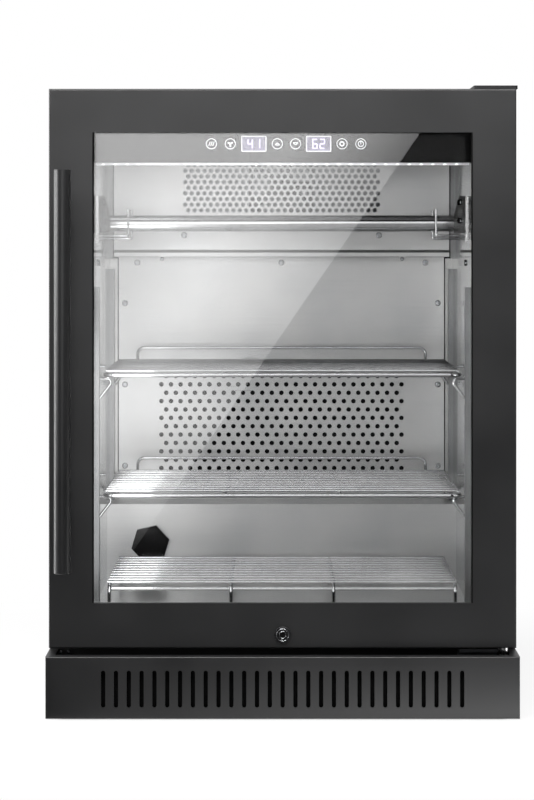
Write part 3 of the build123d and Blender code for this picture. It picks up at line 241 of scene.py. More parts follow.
steel_along_x = brushed_steel("stainless_brushed_across", run_across, roughness=(0.27, 0.36))
steel_along_z = brushed_steel("stainless_brushed_upright", run_upright, roughness=(0.2, 0.28))
bright_steel = brushed_steel("stainless_bright_annealed", run_upright, roughness=(0.07, 0.13))
dull_steel = brushed_steel(
    "stainless_dull_fold",
    run_upright,
    roughness=(0.3, 0.4),
    colours=(pickled_colour, pickled_light),
)
dress(steel_along_x, "back_panel", "evaporator_cover", "step_cover", "liner_floor")
dress(steel_along_z, "liner_ceiling", "rod_brackets")
dress(dull_steel, "shelf_uprights")
dress(bright_steel, "liner_left", "liner_right")

# Evaporator and condenser: aluminium fins pressed on tubes. The solids have coarse grooves, and
# the fins between them, 1.8 mm apart, are drawn by the finish, as light bands with painted shade
# in the gaps between them. A wave of scale 1 turns 20 radians in a metre.
fin_colour = "#c4c8cc"
# Dark bands between the fins: painted shade in their gaps.
fin_shade = "#5d6166"
fin_pitch = 1.8 * mm
fin_relief = 0.5 * mm
wave_unit = 20

fins, tree, shader, places = start_material("aluminium_fins", {"Metallic": 0.95, "Roughness": 0.38})
stripes = add_node(
    tree,
    "ShaderNodeTexWave",
    {"bands_direction": "X", "Scale": 2 * math.pi / fin_pitch / wave_unit, "Distortion": 0.4},
    [("Vector", places)],
)
mixed = add_node(
    tree,
    "ShaderNodeMix",
    {"data_type": "RGBA", 6: linear(fin_shade), 7: linear(fin_colour)},
    [(0, stripes.outputs["Fac"])],
)
bump = add_node(
    tree, "ShaderNodeBump", {"Distance": fin_relief}, [("Height", stripes.outputs["Fac"])]
)
tree.links.new(mixed.outputs[2], shader.inputs["Base Color"])
tree.links.new(bump.outputs[0], shader.inputs["Normal"])
dress(fins, "evaporator_coil", "condenser_coil")

# Back liner, fans, control box, drain pan, inlet, lock strike, hinge cover and the door's core and
# inner frame: black ABS, moulded with a spark-eroded texture that scatters the light.
abs_plastic = grained(
    "moulded_black_abs",
    {"IOR": 1.53, "Specular IOR Level": 0.25},
    colours=("#0b0b0c", "#121213"),
    roughness=(0.48, 0.6),
    size=0.9 * mm,
    depth=0.03 * mm,
)
dress(abs_plastic, "evaporator_fan_frame", "evaporator_fan", "condenser_fan_frame")
dress(abs_plastic, "condenser_fan", "control_box", "drain_pan", "power_inlet", "lock_strike")
dress(abs_plastic, "hinge_cover", "door_core", "door_liner", "liner_back")

# Compressor: a deep-drawn steel shell in two halves, welded round and dipped in black enamel,
# which pools glossier than powder coat and gathers dust on top.
enamel = grained(
    "dipped_black_enamel",
    {"IOR": 1.52, "Coat Weight": 0.4, "Coat Roughness": 0.15},
    colours=("#101011", "#2b2a28"),
    roughness=(0.2, 0.42),
    size=6 * mm,
    depth=0.05 * mm,
    cloud=40 * mm,
)
dress(enamel, "compressor")

# Shelves, rack, brackets and rod: drawn steel wire and tube, welded and then nickel and chromium
# plated, so the surface is nearly a mirror with a slight ripple from the drawing.
chrome = grained(
    "chromium_plated_wire",
    {"Metallic": 1.0},
    colours=("#cfd0d1", "#e3e4e5"),
    roughness=(0.1, 0.17),
    size=6 * mm,
    depth=0.001 * mm,
)
dress(chrome, "hanging_rod", "shelf_upper", "shelf_lower", "bottom_rack", "shelf_brackets")

# Rod retainers: the same wire, bent into loops. Its sides, where the surface turns away from the
# front and the rear, are darkened with painted shade; only its front and rear crown keep the bright
# plating.
# Colour of the painted shade on the wire's sides.
retainer_dull = "#2a2b2d"
crown_from = 0.55
crown_to = 0.85


def dull_sides(finish, colour, from_slope, to_slope):
    """Paints shade on a finish: darkens it where its surface turns away from the front and the
    rear.
    """
    tree = finish.node_tree
    base = find_node(tree, "BSDF_PRINCIPLED").inputs["Base Color"]
    slope = add_node(tree, "ShaderNodeNewGeometry", {})
    split = add_node(tree, "ShaderNodeSeparateXYZ", {}, [(0, slope.outputs["Normal"])])
    front = add_node(tree, "ShaderNodeMath", {"operation": "ABSOLUTE"}, [(0, split.outputs[1])])
    crown = add_node(tree, "ShaderNodeMapRange", {1: from_slope, 2: to_slope}, [(0, front)])
    mixed = add_node(
        tree,
        "ShaderNodeMix",
        {"data_type": "RGBA", 6: linear(colour)},
        [(0, crown), (7, base.links[0].from_socket)],
    )
    tree.links.new(mixed.outputs[2], base)


retainer_wire = chrome.copy()
retainer_wire.name = "chromium_plated_wire_dulled"
dull_sides(retainer_wire, retainer_dull, crown_from, crown_to)
dress(retainer_wire, "rod_retainers")

# Hinge brackets: the upper one is coated as the shell. The lower one is burnished zinc-plated plate
# with a brighter nickel barrel pressed into it on the hinge's axis.
barrel_axis = (280 * mm, -242.25 * mm, 0)
barrel_reach = 6.0 * mm
barrel_blend = 0.5 * mm
burnished_zinc = "#505255"
scuffed_zinc = "#6d6f72"
barrel_nickel = "#e6e6e5"
scuff_size = 2 * mm
plate_roughness = 0.42
barrel_roughness = 0.14
dress(powder_coat, "hinge_bracket_top")

hinge_plate, tree, shader, places = start_material("burnished_zinc_plate", {"Metallic": 1.0})
split = add_node(tree, "ShaderNodeSeparateXYZ", {}, [(0, places)])
level = add_node(tree, "ShaderNodeCombineXYZ", {}, [(0, split), (1, split.outputs[1])])
reach = add_node(
    tree, "ShaderNodeVectorMath", {"operation": "DISTANCE", 1: barrel_axis}, [(0, level)]
)
nickel = add_node(
    tree,
    "ShaderNodeMapRange",
    {1: barrel_reach, 2: barrel_reach + barrel_blend, 3: 1.0, 4: 0.0},
    [(0, reach.outputs["Value"])],
)
scuffs = add_node(
    tree, "ShaderNodeTexNoise", {"Scale": 1 / scuff_size, "Detail": 3.0}, [("Vector", places)]
)
zinc = add_node(
    tree,
    "ShaderNodeMix",
    {"data_type": "RGBA", 6: linear(burnished_zinc), 7: linear(scuffed_zinc)},
    [(0, scuffs)],
)
mixed = add_node(
    tree,
    "ShaderNodeMix",
    {"data_type": "RGBA", 7: linear(barrel_nickel)},
    [(0, nickel), (6, zinc.outputs[2])],
)
rough = add_node(
    tree, "ShaderNodeMapRange", {3: plate_roughness, 4: barrel_roughness}, [(0, nickel)]
)
tree.links.new(mixed.outputs[2], shader.inputs["Base Color"])
tree.links.new(rough.outputs[0], shader.inputs["Roughness"])
dress(hinge_plate, "hinge_bracket_bottom")

# Screws: zinc-plated pan heads with a cross recess, driven through the liners, covers and rod
# brackets. The rim and the recess's walls are darkened with painted shade, and the top keeps the
# plating's bright tone. One head is modelled and copied to each place where the frame has a screw.
head_radius = 4.2 * mm
head_height = 2.2 * mm
head_round = 0.6
recess_length = 4.4 * mm
recess_width = 1.0 * mm
recess_depth = 1.5 * mm
plate_colour = "#b4b6b8"
plate_dark = "#97999b"
# Colour of the painted shade on the heads' rims and in their recesses.
plate_rim = "#17181a"
rim_slope = 0.86
top_slope = 0.97
nearly = 0.9
screw_reach = 14 * mm
screw_turn = 37

plated = grained(
    "zinc_plated_screw",
    {"Metallic": 1.0},
    colours=(plate_dark, plate_colour),
    roughness=(0.2, 0.3),
    size=2 * mm,
    depth=0.002 * mm,
)
dull_sides(plated, plate_rim, rim_slope, top_slope)


def edit(test=None, kind="VERT"):
    """Opens the active mesh in edit mode with only what passes the test selected, by its centre."""
    mesh = bpy.context.object.data
    bpy.ops.object.mode_set(mode="EDIT")
    bpy.ops.mesh.select_mode(type=kind)
    bpy.ops.mesh.select_all(action="DESELECT")
    bpy.ops.object.mode_set(mode="OBJECT")
    if kind == "FACE":
        for face in mesh.polygons:
            face.select = test(face.center, face.normal)
    elif kind == "EDGE":
        for edge in mesh.edges:
            ends = [mesh.vertices[i].co for i in edge.vertices]
            edge.select = test((ends[0] + ends[1]) / 2, (ends[1] - ends[0]).normalized())
    else:
        for vertex in mesh.vertices:
            vertex.select = test is None or test(vertex.co, vertex.normal)
    bpy.ops.object.mode_set(mode="EDIT")


def close_edit():
    """Leaves edit mode."""
    bpy.ops.object.mode_set(mode="OBJECT")


def settle(name):
    """Names the active object and moves its place, turn and scale into its mesh."""
    made = bpy.context.object
    made.name = name
    made.data.name = name
    bpy.ops.object.transform_apply(location=True, rotation=True, scale=True)
    return made


def cut(body, tool):
    """Cuts the tool out of the body and removes the tool."""
    bpy.ops.object.select_all(action="DESELECT")
    bpy.context.view_layer.objects.active = body
    body.select_set(True)
    change = body.modifiers.new("cut", "BOOLEAN")
    change.operation = "DIFFERENCE"
    change.object = tool
    bpy.ops.object.modifier_apply(modifier=change.name)
    bpy.data.objects.remove(tool)


def copies(source, name, places):
    """Copies a mesh to each matrix, joins the copies and removes the source."""
    made = []
    for place in places:
        each = source.copy()
        each.data = source.data.copy()
        each.data.transform(place)
        bpy.context.collection.objects.link(each)
        made.append(each)
    bpy.data.objects.remove(source)
    return join(made, name)


def join(parts, name):
    """Joins objects into one under a name."""
    bpy.ops.object.select_all(action="DESELECT")
    for part in parts:
        part.select_set(True)
    bpy.context.view_layer.objects.active = parts[0]
    if len(parts) > 1:
        bpy.ops.object.join()
    parts[0].name = name
    parts[0].data.name = name
    bpy.ops.object.select_all(action="DESELECT")
    return parts[0]


def fit_piece(piece, material, body):
    """Gives a finished piece its finish and its body."""
    piece.data.materials.clear()
    piece.data.materials.append(material)
    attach(piece, body)


def pan_head(radius, height):
    """A pan head with a cross recess that looks along -Y, its seat at the origin."""
    bpy.ops.mesh.primitive_cylinder_add(
        vertices=20,
        radius=radius,
        depth=height,
        location=(0, -height / 2, 0),
        rotation=(math.pi / 2, 0, 0),
    )
    head = settle("pan_head")
    edit(lambda at, way: at.y < -height * nearly and abs(way.y) < 1 - nearly, "EDGE")
    bpy.ops.mesh.bevel(offset=height * head_round, segments=3)
    close_edit()
    size = radius / head_radius
    for long_x in (True, False):
        bpy.ops.mesh.primitive_cube_add(size=1, location=(0, -height, 0))
        sides = (recess_length * size, 2 * recess_depth * size, recess_width * size)
        bpy.context.object.scale = sides if long_x else sides[::-1]
        cut(head, settle("recess"))
    return head


def lumps(node, reach):
    """The (low, high) box of each separate lump of a CAD node, for lumps smaller than the reach."""
    groups = []
    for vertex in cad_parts[node].data.vertices:
        for group in groups:
            if (group[0] - vertex.co).length < reach:
                group.append(vertex.co)
                break
        else:
            groups.append([vertex.co])
    return [
        (Vector(map(min, zip(*group))), Vector(map(max, zip(*group)))) for group in groups
    ]


slant_turn = math.radians(57)
slant_low_x = 0.2
slant_low_z = 0.6
slant_reach_y = 0.05

head_places = []
for low, high in lumps("panel_screws", screw_reach):
    middle = (low + high) / 2
    if abs(middle.x) > slant_low_x and middle.z > slant_low_z and middle.y < slant_reach_y:
        side = math.copysign(1, middle.x)
        turn = Matrix.Rotation(-side * slant_turn, 4, "Z")
        facing = turn @ Vector((0, -1, 0))
        corners = [v.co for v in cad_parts["panel_screws"].data.vertices]
        top = max(at.dot(facing) for at in corners if (at - middle).length < screw_reach)
        seat = middle + facing * (top - head_height - middle.dot(facing))
    elif high.x - low.x < nearly * (high.z - low.z):
        side = math.copysign(1, middle.x)
        seat_x = low.x + head_height if side > 0 else high.x - head_height
        seat = Vector((seat_x, middle.y, middle.z))
        turn = Matrix.Rotation(-side * math.pi / 2, 4, "Z")
    else:
        seat = Vector((middle.x, low.y + head_height, middle.z))
        turn = Matrix.Identity(4)
    spin = Matrix.Rotation(math.radians(screw_turn * len(head_places)), 4, "Y")
    head_places.append(Matrix.Translation(seat) @ turn @ spin)
screws = copies(pan_head(head_radius, head_height), "panel_screw_heads", head_places)
fit_piece(screws, plated, "cabinet")
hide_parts("panel_screws")

# Rear screws: the same heads hold the rear panel and the grille to the folds of the sides, and
# two more close the unused hinge holes at the foot of the frame.
rear_low, rear_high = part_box("rear_panel")
grille_low, grille_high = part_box("rear_grille")
rear_screw_inset = 9 * mm
rear_screw_rows = 5
grille_screw_rows = 2
plug_x = -278.5 * mm
plug_spread = 5 * mm
plug_z = 75.5 * mm
plug_radius = 2.6 * mm
rear_screw_turn = 53

rear_places = []
turn = Matrix.Rotation(math.pi, 4, "Z")
for low, high, rows in (
    (rear_low, rear_high, rear_screw_rows),
    (grille_low, grille_high, grille_screw_rows),
):
    for row in range(rows):
        spin = Matrix.Rotation(math.radians(rear_screw_turn * row), 4, "Y")
        z = low.z + (high.z - low.z) * (row + 0.5) / rows
        for x in (low.x + rear_screw_inset, high.x - rear_screw_inset):
            rear_places.append(Matrix.Translation((x, cad_high.y, z)) @ turn @ spin)
rear_screws = copies(pan_head(head_radius, head_height), "rear_screw_heads", rear_places)
fit_piece(rear_screws, plated, "cabinet")

frame_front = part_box("front_frame")[0].y
plug_places = [
    Matrix.Translation((plug_x + side * plug_spread, frame_front, plug_z)) for side in (-1, 1)
]
plugs = copies(pan_head(plug_radius, head_height), "hinge_hole_screws", plug_places)
fit_piece(plugs, plated, "cabinet")

# Filter cap: a six-sided cap moulded in glossy black ABS that screws over the charcoal filter.
# Its tool is polished, so the faces mirror the cavity darkly with next to no grain.
gloss_abs = grained(
    "polished_black_abs",
    {"IOR": 1.53, "Specular IOR Level": 0.2},
    colours=("#060607", "#0a0a0b"),
    roughness=(0.1, 0.16),
    size=8 * mm,
    depth=0.001 * mm,
)
dress(gloss_abs, "filter_cap")

# Control panel: a housing of black acrylic with light keys and two lit displays behind its face.
# The lit marks are printed masks over lamps, so each is a thin flat figure 0.2 mm proud.
panel_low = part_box("control_panel")[0]
mark_proud = 0.2 * mm
mark_rise = 24.2 * mm
mark_y = panel_low.y - mark_proud / 2
mark_z = panel_low.z + mark_rise
mark_grain = 2 * mm
key_radius = 7.0 * mm
key_line = 0.9 * mm
display_width = 31.2 * mm
display_height = 19.2 * mm
display_line = 1.3 * mm
display_places = (-36.7 * mm, 46.4 * mm)
digit_height = 11.6 * mm
digit_width = 5.6 * mm
digit_line = 1.5 * mm
digit_step = 9.5 * mm
key_names = {
    "lamp": -91.1 * mm,
    "fan": -66.9 * mm,
    "up": -6.6 * mm,
    "down": 16.8 * mm,
    "light": 76.4 * mm,
    "power": 100.6 * mm,
}

dress(gloss_abs, "control_panel")


def lit(name, colour, shade, strength):
    """A lamp-lit mask: even light from inside, with a slightly darker shade in its clouds."""
    made, tree, shader, places = start_material(
        name, {"Roughness": 0.4, "Emission Strength": strength}
    )
    grain = add_node(tree, "ShaderNodeTexNoise", {"Scale": 1 / mark_grain}, [("Vector", places)])
    mixed = add_node(
        tree,
        "ShaderNodeMix",
        {"data_type": "RGBA", 6: linear(shade), 7: linear(colour)},
        [(0, grain)],
    )
    tree.links.new(mixed.outputs[2], shader.inputs["Base Color"])
    tree.links.new(mixed.outputs[2], shader.inputs["Emission Color"])
    return made


key_light = lit("lit_key_mark", "#ffffff", "#d6d6dc", strength=0.9)
digit_light = lit("lit_display_digit", "#f4eeff", "#c9bdf2", strength=1.3)
display_glow = lit("lit_display_ground", "#b9b3c9", "#8d87a6", strength=0.16)


def bar_between(start, end, width):
    """A lit bar of the digits and signs, in place."""
    bpy.ops.mesh.primitive_cylinder_add(
        vertices=6,
        radius=width / 2,
        depth=mark_proud,
        rotation=(math.pi / 2, math.radians(30), 0),
    )
    bpy.ops.object.transform_apply(rotation=True)
    bar = bpy.context.object
    run = Vector((end[0] - start[0], 0, end[1] - start[1]))
    half = max(run.length - width, 0) / 2
    for vertex in bar.data.vertices:
        if abs(vertex.co.x) > width / 20:
            vertex.co.x += math.copysign(half, vertex.co.x)
    middle = ((start[0] + end[0]) / 2, mark_y, (start[1] + end[1]) / 2)
    bar.data.transform(Matrix.Rotation(math.atan2(-run.z, run.x), 4, "Y"))
    bar.data.transform(Matrix.Translation(middle))
    return bar


segments = {
    "a": ((-1, 2), (1, 2)),
    "b": ((1, 2), (1, 0)),
    "c": ((1, 0), (1, -2)),
    "d": ((-1, -2), (1, -2)),
    "e": ((-1, 0), (-1, -2)),
    "f": ((-1, 2), (-1, 0)),
    "g": ((-1, 0), (1, 0)),
}
figures = {"4": "fgbc", "1": "bc", "6": "afedcg", "2": "abged"}


def digit(figure, x):
    """A seven-segment digit centred at x on the displays' height."""
    made = []
    for letter in figures[figure]:
        ends = [
            (x + end[0] * digit_width / 2, mark_z + end[1] * digit_height / 4)
            for end in segments[letter]
        ]
        made.append(bar_between(*ends, digit_line))
    return made


def ring(x, radius, width):
    """A flat lit ring centred at x on the keys' height."""
    bpy.ops.mesh.primitive_cylinder_add(
        vertices=40,
        radius=radius,
        depth=mark_proud,
        rotation=(math.pi / 2, 0, 0),
        location=(x, mark_y, mark_z),
        end_fill_type="NGON",
    )
    piece = settle("ring")
    edit(lambda at, way: abs(way.y) > nearly, "FACE")
    bpy.ops.mesh.inset(thickness=width)
    bpy.ops.mesh.bridge_edge_loops()
    close_edit()
    return piece


def frame_bars(x):
    """Four bars round a display."""
    left, right = x - display_width / 2, x + display_width / 2
    top, bottom = mark_z + display_height / 2, mark_z - display_height / 2
    corners = [(left, bottom), (right, bottom), (right, top), (left, top)]
    return [bar_between(corners[i], corners[(i + 1) % 4], display_line) for i in range(4)]


# Key signs: three slanted bars for the lamp, three blades for the fan, a triangle up and one down,
# a ring for the light, and a ring with a bar for the power.
sign = 2.9 * mm
sign_line = 1.1 * mm
slant_step = 2.6 * mm
slant_lean = 1 * mm
blade_length = 4 * mm
blade_turns = (30, 150, 270)
light_radius = 3.4 * mm
light_line = 1.6 * mm
power_radius = 3.9 * mm
power_line = 1.0 * mm
power_foot = -1 * mm
power_top = 4.5 * mm

keys = [ring(x, key_radius, key_line) for x in key_names.values()]
bars = []
x = key_names["lamp"]
for offset in (-slant_step, 0, slant_step):
    middle = x + offset
    bars.append(((middle - slant_lean, -sign), (middle + slant_lean, sign), sign_line))
x = key_names["fan"]
for turn in blade_turns:
    way = (math.cos(math.radians(turn)), math.sin(math.radians(turn)))
    tip = (x + way[0] * blade_length, way[1] * blade_length)
    bars.append(((x, 0), tip, 2 * sign_line))
for x, up in ((key_names["up"], 1), (key_names["down"], -1)):
    left, tip, right = (x - sign, -up * sign / 2), (x, up * sign / 2), (x + sign, -up * sign / 2)
    bars += [(left, tip, sign_line), (right, tip, sign_line), (left, right, sign_line)]
keys.append(ring(key_names["light"], light_radius, light_line))
x = key_names["power"]
keys.append(ring(x, power_radius, power_line))
bars.append(((x, power_foot), (x, power_top), sign_line))
for start, end, width in bars:
    keys.append(bar_between((start[0], mark_z + start[1]), (end[0], mark_z + end[1]), width))
fit_piece(join(keys, "key_marks"), key_light, "cabinet")

frames = [bar for x in display_places for bar in frame_bars(x)]
fit_piece(join(frames, "display_frames"), key_light, "cabinet")

grounds = []
for x in display_places:
    bpy.ops.mesh.primitive_plane_add(
        size=1, location=(x, panel_low.y - mark_proud / 4, mark_z), rotation=(math.pi / 2, 0, 0)
    )
    bpy.context.object.scale = (display_width, display_height, 1)
    grounds.append(settle("ground"))
fit_piece(join(grounds, "display_grounds"), display_glow, "cabinet")

digits = []
for x, pair in zip(display_places, ("41", "62")):
    for side, figure in zip((-0.5, 0.5), pair):
        digits += digit(figure, x + side * digit_step)
fit_piece(join(digits, "display_digits"), digit_light, "cabinet")

# Light strip: an opal polycarbonate cover over a row of white lamps. Each lamp shows as a bright
# spot through the cover, about 15 mm from the next.
strip_low, strip_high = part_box("led_strip")
lamp_pitch = 15.1 * mm
lamp_size = (1.9 * mm, 0.4 * mm, 0.8 * mm)
lamp_first = -229.8 * mm
lamp_z = strip_low.z + 0.9 * mm
foot_light = 0.16
face_light = 0.02
foot_from = 0.2 * mm
foot_to = 0.9 * mm

opal = lit("opal_polycarbonate", "#f6f7fa", "#e4e6ec", strength=0.9)
tree = opal.node_tree
places = find_node(tree, "TEX_COORD").outputs["Object"]
split = add_node(tree, "ShaderNodeSeparateXYZ", {}, [(0, places)])
lit_foot = add_node(
    tree,
    "ShaderNodeMapRange",
    {1: lamp_z + foot_from, 2: lamp_z + foot_to, 3: foot_light, 4: face_light},
    [(0, split.outputs[2])],
)
shader = find_node(tree, "BSDF_PRINCIPLED")
tree.links.new(lit_foot.outputs[0], shader.inputs["Emission Strength"])
lamp_glow = lit("lit_lamp_spot", "#ffffff", "#ffffff", strength=2.2)
dress(opal, "led_strip")

lamp_places = []
lamp_x = lamp_first
while lamp_x < strip_high.x - lamp_size[0]:
    lamp_places.append(Matrix.Translation((lamp_x, strip_low.y, lamp_z)))
    lamp_x += lamp_pitch
bpy.ops.mesh.primitive_uv_sphere_add(segments=12, ring_count=8, radius=1)
bpy.context.object.scale = lamp_size
spots = copies(settle("lamp_spot"), "lamp_spots", lamp_places)
fit_piece(spots, lamp_glow, "cabinet")

# UV lamp: a tube of fused quartz in two holders behind the evaporator's cover. Its filling glows
# only faintly, so the tube looks dark grey.
tube_glass = lit("dark_quartz_tube", "#6f7280", "#5c6070", strength=0.02)
dress(tube_glass, "uv_lamp")

# Corner folds: stainless angles riveted in the cavity's back corners, darkened with painted shade
# beside the evaporator's cover and bright beside the back panel. They close the gaps there, down to
# a dark line.
fold_sheet = 0.8 * mm
fold_depth = 12 * mm
fold_line = 1.8 * mm
fold_blend = 1 * mm
wall_x = 249 * mm
cover_low, cover_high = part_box("evaporator_cover")
sheet_low, sheet_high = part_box("back_panel")
cover_z = (cover_low.z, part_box("liner_ceiling")[0].z)
sheet_z = (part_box("step_cover")[1].z, cover_low.z - fold_blend)

folds = []
for edge, y, ends in ((cover_high.x, cover_low.y, cover_z), (sheet_high.x, sheet_low.y, sheet_z)):
    for side in (-1, 1):
        corner = (side * (wall_x - fold_sheet / 2), y + fold_sheet / 2, ends[0])
        bpy.ops.mesh.primitive_plane_add(size=fold_sheet, location=corner)
        folds.append(settle("fold"))
        inner_x = wall_x - fold_sheet * nearly
        edit(lambda at, way: side * at.x < inner_x and abs(way.y) > nearly, "EDGE")
        across = -side * (wall_x - fold_sheet - edge - fold_line)
        bpy.ops.mesh.extrude_region_move(TRANSFORM_OT_translate={"value": (across, 0, 0)})
        close_edit()
        edit(
            lambda at, way: at.y > y + fold_sheet * nearly
            and abs(way.x) > nearly
            and side * at.x > wall_x - fold_sheet,
            "EDGE",
        )
        bpy.ops.mesh.extrude_region_move(TRANSFORM_OT_translate={"value": (0, fold_depth, 0)})
        bpy.ops.mesh.select_all(action="SELECT")
        height = ends[1] - ends[0]
        bpy.ops.mesh.extrude_region_move(TRANSFORM_OT_translate={"value": (0, 0, height)})
        bpy.ops.mesh.select_all(action="SELECT")
        bpy.ops.mesh.normals_make_consistent(inside=False)
        close_edit()

fold_steel = dull_steel.copy()
fold_steel.name = "stainless_dull_and_bright_fold"
tree = fold_steel.node_tree
base = find_node(tree, "BSDF_PRINCIPLED").inputs["Base Color"]
places = find_node(tree, "TEX_COORD").outputs["Object"]
split = add_node(tree, "ShaderNodeSeparateXYZ", {}, [(0, places)])
# Above the cover's foot the fold keeps the painted shade tone; below it the fold is bright.
upper = add_node(
    tree,
    "ShaderNodeMapRange",
    {1: cover_low.z - fold_blend, 2: cover_low.z + fold_blend},
    [(0, split.outputs[2])],
)
mixed = add_node(
    tree,
    "ShaderNodeMix",
    {"data_type": "RGBA", 6: linear(steel_colour)},
    [(0, upper), (7, base.links[0].from_socket)],
)
tree.links.new(mixed.outputs[2], base)
fit_piece(join(folds, "corner_folds"), fold_steel, "cabinet")

# Cover lip: a flat strip of the same sheet spot-welded along the foot of the evaporator's cover, so
# that the cover's front ends in one straight edge with a dark gap under it.
lip_foot = 2.2 * mm
lip_top = 8 * mm
lip_sheet = 0.5 * mm


def block(name, low, high):
    """A block between two corners, with its place in its mesh."""
    low, high = Vector(low), Vector(high)
    bpy.ops.mesh.primitive_cube_add(size=1, location=(low + high) / 2)
    bpy.context.object.scale = high - low
    return settle(name)


cover_lip = block(
    "cover_lip",
    (cover_low.x, cover_low.y - lip_sheet, cover_low.z + lip_foot),
    (cover_high.x, cover_low.y, cover_low.z + lip_top),
)
edit(lambda at, way: at.z < cover_low.z + lip_foot + lip_sheet and abs(way.x) > nearly, "EDGE")
bpy.ops.mesh.bevel(offset=lip_sheet * 0.4, segments=2)
close_edit()
fit_piece(cover_lip, steel_along_x, "cabinet")

# Clip screws: a small zinc-plated screw holds each of the two clips under the evaporator's cover,
# at the top of the back panel.
clip_places = (-174 * mm, 176 * mm)
clip_sheet = 2 * mm
clip_screw_radius = 2.9 * mm
clip_screw_drop = 1.5 * mm
clip_screws = copies(
    pan_head(clip_screw_radius, head_height),
    "clip_screw_heads",
    [
        Matrix.Translation((x, sheet_low.y - clip_sheet, cover_low.z - clip_screw_drop))
        for x in clip_places
    ],
)
fit_piece(clip_screws, plated, "cabinet")

# Feet: black rubber pads moulded on steel studs, which screw into the base pan. The rubber comes
# matt and slightly pitted from its mould.
rubber = grained(
    "moulded_black_rubber",
    {"IOR": 1.52},
    colours=("#0f0f0f", "#1b1b1b"),
    roughness=(0.7, 0.85),
    size=1.2 * mm,
    depth=0.05 * mm,
)
dress(rubber, "foot_front_left", "foot_front_right", "foot_rear_left", "foot_rear_right")

# Plinth and door skin: the same powder coat as the shell, on thicker sheet. The handle is a tube
# on two turned posts, coated thinner, so that it is smoother and glossier than the sheets.
handle_coat = grained(
    "smooth_black_powder_coat",
    {"IOR": 1.5},
    colours=("#0a0a0b", "#101011"),
    roughness=(0.34, 0.4),
    size=peel_size,
    depth=peel_depth / 2,
)
dress(powder_coat, "plinth_grille", "door_skin")
dress(handle_coat, "handle_bar", "handle_posts")

# Dust filter: a thin sheet of black foam clipped behind the plinth's slots, which keeps dust off
# the condenser. Its near-black tone is painted shade, so that through the slots it shows as plain
# black.
filter_half_x = 236 * mm
filter_foot = 8 * mm
filter_top = 68 * mm
filter_set_back = 9 * mm
filter_sheet = 3 * mm
filter_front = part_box("plinth_grille")[0].y + filter_set_back

dust_filter = block(
    "dust_filter",
    (-filter_half_x, filter_front, filter_foot),
    (filter_half_x, filter_front + filter_sheet, filter_top),
)
edit(lambda at, way: abs(way.y) > nearly, "EDGE")
bpy.ops.mesh.bevel(offset=filter_sheet, segments=4)
close_edit()
# Near-black foam: painted shade behind the plinth's slots and along the window's sides.
black_foam = grained(
    "open_cell_black_foam",
    {"Specular IOR Level": 0.1},
    colours=("#020202", "#050505"),
    roughness=(0.9, 1.0),
    size=1.2 * mm,
    depth=0.3 * mm,
)
fit_piece(dust_filter, black_foam, "cabinet")

# Glass unit: two panes of clear float glass on a black anodised spacer, with a film that holds
# back part of the lamps' light. Lamps shine through the panes, so a shadow ray passes them.
glass_colour = "#fefefe"
lamp_share = "#e6e6e6"

glass, tree, shader, places = start_material(
    "clear_float_glass",
    {"Base Color": linear(glass_colour), "Roughness": 0.0, "IOR": 1.52, "Transmission Weight": 1.0},
)
passing = add_node(tree, "ShaderNodeBsdfTransparent", {"Color": linear(lamp_share)})
rays = add_node(tree, "ShaderNodeLightPath", {})
either = add_node(
    tree,
    "ShaderNodeMixShader",
    {},
    [(0, rays.outputs["Is Shadow Ray"]), (1, shader), (2, passing)],
)
tree.links.new(either.outputs[0], find_node(tree, "OUTPUT_MATERIAL").inputs["Surface"])
dress(glass, "glass_outer", "glass_inner")

anodised = grained(
    "black_anodised_aluminium",
    {"Metallic": 1.0},
    colours=("#1a1a1b", "#242426"),
    roughness=(0.35, 0.45),
    size=0.8 * mm,
    depth=0.01 * mm,
    stretch=(1, 1, 0.02),
)
dress(anodised, "glass_spacer")

# Gasket: a soft black extrusion with a magnet in its bellows, pushed into a groove round the
# door's inner frame. Its two folds are given as inset and reach, in millimetres.
gasket_low, gasket_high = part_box("door_gasket")
vinyl = grained(
    "soft_black_vinyl",
    {"IOR": 1.5},
    colours=("#121212", "#1c1c1c"),
    roughness=(0.5, 0.62),
    size=1.5 * mm,
    depth=0.02 * mm,
)
bellow_profile = [
    (0.0, 0.0), (0.0, 2.4), (2.2, 3.0), (2.2, 3.8), (0.9, 4.4), (0.9, 5.4), (2.2, 6.0), (2.2, 7.2),
    (2.8, 7.7), (13.2, 7.7), (13.8, 7.2), (13.8, 6.0), (15.1, 5.4), (15.1, 4.4), (13.8, 3.8),
    (13.8, 3.0), (16.0, 2.4), (16.0, 0.0),
]
centre = (gasket_low + gasket_high) / 2
half_x = (gasket_high.x - gasket_low.x) / 2
half_z = (gasket_high.z - gasket_low.z) / 2
bpy.ops.mesh.primitive_plane_add(
    size=2, location=(centre.x, gasket_low.y, centre.z), rotation=(math.pi / 2, 0, 0)
)
gasket = bpy.context.object
gasket.scale = (half_x, half_z, 1)
gasket = settle("gasket_bellows")
edit()
bpy.ops.mesh.delete(type="ONLY_FACE")
close_edit()
edit()
was = bellow_profile[0]
for inset, out_y in bellow_profile[1:]:
    bpy.ops.mesh.extrude_edges_move(
        TRANSFORM_OT_translate={"value": (0, (out_y - was[1]) * mm, 0)}
    )
    shrink = (
        (half_x - inset * mm) / (half_x - was[0] * mm),
        1,
        (half_z - inset * mm) / (half_z - was[0] * mm),
    )
    bpy.ops.transform.resize(value=shrink, center_override=centre)
    was = (inset, out_y)
close_edit()
edit()
bpy.ops.mesh.select_all(action="DESELECT")
bpy.ops.mesh.select_non_manifold()
bpy.ops.mesh.bridge_edge_loops()
bpy.ops.mesh.select_all(action="SELECT")
bpy.ops.mesh.normals_make_consistent(inside=False)
close_edit()
fit_piece(gasket, vinyl, "door")
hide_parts("door_gasket")
